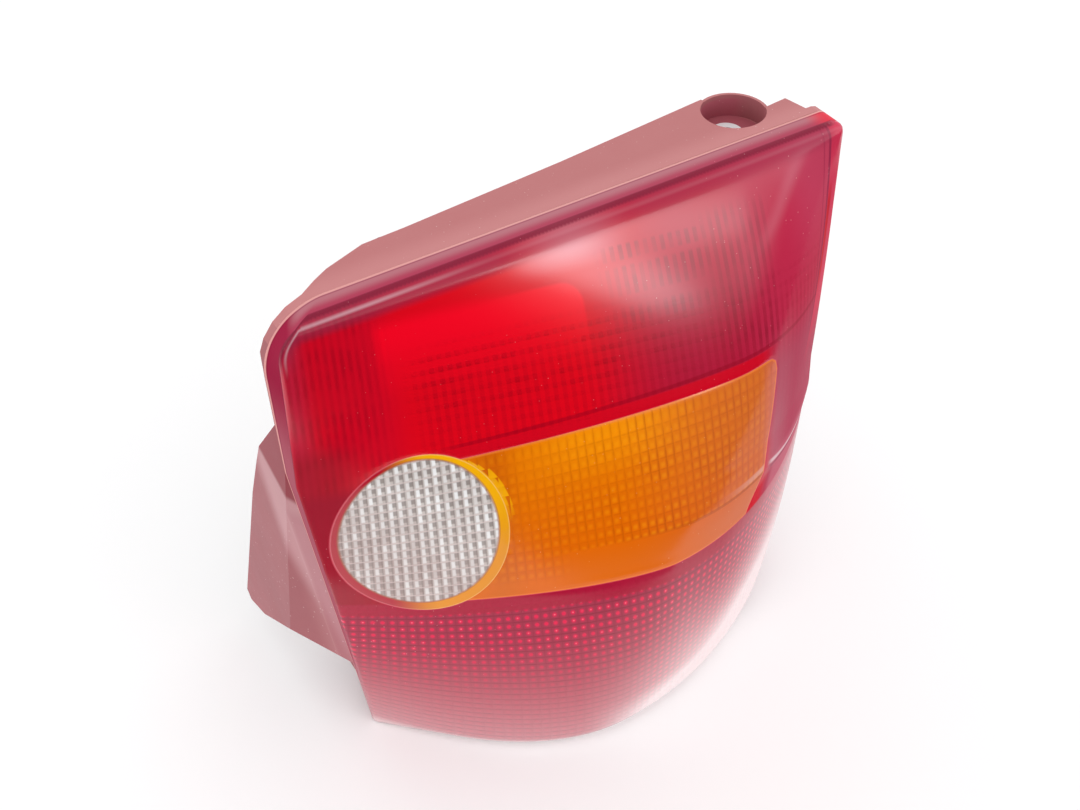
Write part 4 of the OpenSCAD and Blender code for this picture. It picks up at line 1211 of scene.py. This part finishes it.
# painted shade: the upper part of the wing is deep red
plastic = net.paint(plastic, "#8E2234", net.step(wing_height, PALE_BELOW, SHADE_ABOVE), on_wing, 0.85)
slant = net.math("MULTIPLY_ADD", place_z, -0.6, net.math("MULTIPLY_ADD", place_x, -1.6, place_y))
inboard_side = net.step(place_x, -0.19, -0.196)
pale_zone = net.product(net.step(slant, 0.4368, 0.4168), net.step(wing_height, SHADE_ABOVE, PALE_BELOW))
plastic = net.paint(plastic, "#D4A4A8", pale_zone, inboard_side, 0.6)
print("wing turns pale below", PALE_BELOW, "m")

# %% [markdown]
# ## Edge strip, pocket and dust
# Where the wing meets the lens a narrow strip is darker, with a pale line along
# it. The pocket for the screw is shaded and reddish inside, found by the
# distance from the middle of the bush. Dust comes last and lies over all of
# it: a thin film that also takes away some of the shine, and pale specks.

# %% Housing: edge, pocket and dust
STRIP_W = 0.0042
POCKET_R = 0.0165
POCKET_TOP = 0.0075
edge_gap = net.math("SUBTRACT", net.math("MULTIPLY_ADD", place_z, -0.134, -0.2325), place_x)
on_front = net.product(net.step(place_y, -0.012, -0.015), inboard_side, net.step(place_z, -0.095, -0.105))
plastic = net.paint(plastic, "#9C4458", on_front, net.step(edge_gap, STRIP_W, STRIP_W - 0.0006), 0.3)
edge_pale_line = net.between(edge_gap, STRIP_W - 0.0001, STRIP_W + 0.0007, 0.0005)
plastic = net.paint(plastic, "#F0DCDC", on_front, edge_pale_line, 0.7)
in_pocket = net.product(net.step(net.length(place_x, place_y), POCKET_R, POCKET_R - 0.001),
                        net.step(place_z, POCKET_TOP, POCKET_TOP - 0.001))
plastic = net.paint(plastic, "#A8485C", in_pocket, 0.7)
plastic = net.paint(plastic, "#D8B0AC", dust["Film"], 0.2)
plastic = net.paint(plastic, "#E8D4D0", dust["Specks"], 0.4)
net.put(shader["Base Color"], plastic)
net.put(shader["Roughness"], net.step(dust["Film"], 0.0, 0.6, 0.38, 0.55))
bump(net, shader, grain["Height"], 0.00005)
print("material:", housing_material.name)

# %% [markdown]
# ## Rubber, foam and metals
# The other pieces hardly show, but each has a material of its own, so that the
# lamp also looks right when it is taken apart. They differ only in a few
# numbers: two tones, roughness, metal or not, the grain and the film of dust.
# So one function makes them all. Rubber and foam are dark and rough, the
# reflector is nearly a mirror, and the contact strips are brass.

# %% Other materials
def plain_finish(name, dark, light, roughness, metallic=0.0, grain_size=700.0, relief=0.00004, film=0.2):
    """A moulded or pressed finish: two blended tones, grain and a little dust."""
    material, net, shader = new_material(name, roughness, metallic)
    grain = net.use(grain_group, Size=grain_size)
    dust = net.use(dust_group, Size=300.0, Cover=0.3)
    tone = net.blend(grain["Blotches"], colour(dark), colour(light))
    net.put(shader["Base Color"], net.paint(tone, "#C8C0B8", dust["Film"], film))
    net.put(shader["Roughness"], net.step(dust["Film"], 0.0, 0.6, roughness, min(1.0, roughness + 0.15)))
    bump(net, shader, grain["Height"], relief)
    return material


finishes = {
    "housing": housing_material,
    "seal_bead": plain_finish("pale sealing mastic", "#A8A09C", "#BEB6B0", 0.6, relief=0.0002),
    "top_bush": plain_finish("bright zinc steel", "#F0F2F4", "#FEFEFE", 0.45, 0.4, 500.0, film=0.0),
    "mounting_studs": plain_finish("zinc studs", "#B0B2B4", "#D0D0CC", 0.3, 1.0, 500.0, film=0.1),
    "body_gasket": plain_finish("black foam", "#18181A", "#26262A", 0.95, 0.0, 1400.0, 0.0004, 0.1),
    "vent_cap": plain_finish("black rubber", "#1C1C1E", "#2A2A2C", 0.6),
    "reflector": plain_finish("silvered plastic", "#D8D8DA", "#F0F0F0", 0.12, 1.0, 200.0, 0.00002, 0.05),
    "bulb_carrier": plain_finish("grey carrier plastic", "#3A3B3E", "#4A4B4E", 0.5),
    "carrier_gasket": plain_finish("black carrier foam", "#1A1A1C", "#262628", 0.9, 0.0, 1400.0, 0.0003),
}
strips = [kind + "_strip" for kind in ("earth", "tail", "stop", "turn", "reverse", "fog")]
for name in ["connector_pins"] + strips:
    finishes[name] = plain_finish("brass of " + name, "#B08A3C", "#D8B468", 0.3, 1.0, 400.0, film=0.08)
print(len(finishes), "finishes")

# %% [markdown]
# ## Bulbs
# Each bulb is one solid, with its glass in front and its cap behind. Two
# materials would need the solid to be cut, so one opaque material changes from
# smooth and pale to brass at the depth where the cap begins. Clear glass with
# light passing through would show a solid block, as there is no filament in it.
# The bulb of the turn lamp is amber, which tells it from the others.

# %% Bulbs
CAP_SHARE = 0.66
CAP_EDGE = 0.0004


def bulb_finish(name, glass, metal, cap_depth):
    """Glass envelope in front, brass cap behind, told apart by depth."""
    material, net, shader = new_material(name, 0.08, specular=0.6)
    depth = net.split(net.position())["Y"]
    cap = net.step(depth, cap_depth - CAP_EDGE, cap_depth + CAP_EDGE)
    grain = net.use(grain_group, Size=600.0)
    tone = net.blend(grain["Blotches"], colour(glass), colour("#E8E8EA"))
    net.put(shader["Base Color"], net.paint(tone, metal, cap))
    net.put(shader["Metallic"], cap)
    net.put(shader["Roughness"], net.step(cap, 0.0, 1.0, 0.05, 0.3))
    bump(net, shader, grain["Height"], 0.00003)
    return material


for name in ("stop_tail_bulb", "turn_bulb", "reverse_bulb", "fog_bulb"):
    low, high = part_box(name)
    glass = "#E08820" if name == "turn_bulb" else "#D4D8DC"
    cap_depth = low[1] + (high[1] - low[1]) * CAP_SHARE
    finishes[name] = bulb_finish("glass of " + name, glass, "#B89858", cap_depth)
print("finishes with bulbs:", len(finishes))

# %% [markdown]
# ## Rounded edges on the packed pieces
# A packed solid has sharp edges, and nothing moulded does. The mesh itself is
# left alone: modifiers first merge the flat triangles, then cut a narrow bevel
# along every edge that turns by more than 35 degrees, and weighted normals keep
# the flats flat. Small pressed parts get a finer bevel than the housing.

# %% Bevels and finishes
BEVELS = {"housing": 0.0006, "bulb_carrier": 0.0005, "top_bush": 0.0003, "mounting_studs": 0.0003}
FINE_BEVEL = 0.0002


def soften(piece, width):
    flat = piece.modifiers.new("merge flats", "DECIMATE")
    flat.decimate_type = "DISSOLVE"
    flat.angle_limit = math.radians(1.0)
    edge = piece.modifiers.new("round edges", "BEVEL")
    edge.width = width
    edge.segments = 2
    edge.limit_method = "ANGLE"
    edge.angle_limit = math.radians(35)
    edge.use_clamp_overlap = True
    even = piece.modifiers.new("even shading", "WEIGHTED_NORMAL")
    even.keep_sharp = True


for name, material in finishes.items():
    piece = nodes[name]
    piece.data.materials.clear()
    piece.data.materials.append(material)
    for face in piece.data.polygons:
        face.use_smooth = True
        face.material_index = 0
    soften(piece, BEVELS.get(name, FINE_BEVEL))
print("softened", len(finishes), "pieces")

# %% [markdown]
# ## The sheet it stands on
# The lamp stands on a white sheet. The sheet ends a hand's breadth in front of
# the lamp, and this matters: the upper lens leans so that it mirrors what lies
# beyond that edge, and a dark foreground keeps its red deep. The floor is a
# real surface and no flat white backdrop, so that it takes the soft shadow of
# the lamp.

# %% Floor
SHEET_FRONT = -0.25
SHEET_SIZE = 4
floor_z = cad_box[0][2] - 0.0005
corners = [(-SHEET_SIZE, SHEET_FRONT, floor_z), (SHEET_SIZE, SHEET_FRONT, floor_z),
           (SHEET_SIZE, SHEET_SIZE, floor_z), (-SHEET_SIZE, SHEET_SIZE, floor_z)]
floor_mesh = bpy.data.meshes.new("floor")
floor_mesh.from_pydata(corners, [], [(0, 1, 2, 3)])
floor = bpy.data.objects.new("floor", floor_mesh)
bpy.context.scene.collection.objects.link(floor)
floor_material, net, shader = new_material("white sheet", 0.9, specular=0.1)
shade = net.noise(3.0, 2.0, net.position())
net.put(shader["Base Color"], net.blend(shade, colour("#FCFCFC"), colour("#FFFFFF")))
floor_mesh.materials.append(floor_material)
print("floor at", round(floor_z, 4))

# %% [markdown]
# ## The sky
# A picture of a real studio would put its windows on the lens. The sky here is
# a plain gradient instead: brightest just above the horizon, softer overhead,
# and dark below, where the sheet doesn't reach. Rays that come straight from
# the camera see plain white, so the background stays clean while the lamp is
# lit by the gradient.

# %% World
HORIZON_SKY = (1.6, 1.6, 1.63, 1)
HIGH_SKY = (0.84, 0.84, 0.84, 1)
BELOW = (0.03, 0.028, 0.03, 1)
world = bpy.data.worlds.new("studio")
bpy.context.scene.world = world
world.use_nodes = True
net = Net(world.node_tree)
background = world.node_tree.nodes["Background"]
rise = net.split(net.add("ShaderNodeTexCoord").outputs["Generated"])["Z"]
sky = net.blend(net.step(rise, 0.0, 0.9), HORIZON_SKY, HIGH_SKY)
sky = net.blend(net.step(rise, -0.12, 0.1), BELOW, sky)
seen = net.add("ShaderNodeLightPath").outputs["Is Camera Ray"]
net.put(background.inputs["Color"], net.blend(seen, sky, (1, 1, 1, 1)))
background.inputs["Strength"].default_value = 1.0
print("world:", world.name)

# %% [markdown]
# ## Soft boxes
# The crown of the lens carries a milky highlight with two lobes, a tall one and
# a wide one. Each is the mirror image of one area light in front of the lamp,
# so its size and place set the shape of the lobe. A third, large and weak one
# above keeps the shelf from looking flat.

# %% Soft boxes
CROWN = (-0.083, -0.065, -0.01)
LAMP_MIDDLE = (-0.1, 0.0, -0.12)


def soft_box(name, place, size, watts, target):
    data = bpy.data.lights.new(name, "AREA")
    data.shape = "RECTANGLE"
    data.size, data.size_y = size
    data.energy = watts
    lamp = bpy.data.objects.new(name, data)
    lamp.location = place
    lamp.rotation_euler = (Vector(target) - Vector(place)).to_track_quat("-Z", "Y").to_euler()
    bpy.context.scene.collection.objects.link(lamp)
    print(name, "at", place)


soft_box("tall soft box in front", (0.528, -1.54, 0.125), (0.17, 0.25), 0.95, CROWN)
soft_box("wide soft box in front", (0.678, -1.44, 0.33), (0.32, 0.2), 0.8, CROWN)
soft_box("soft box above", (-0.5, -0.3, 1.3), (1.2, 1.2), 2.0, LAMP_MIDDLE)

# %% [markdown]
# ## View and the measured box
# The plain view transform keeps the colours as they were chosen. A filmic one
# would take the deep red towards orange and grey the sheet. Last, the box of
# the packed solids is printed.

# %% View
bpy.context.scene.view_settings.view_transform = "Standard"
print("cad box", cad_box)
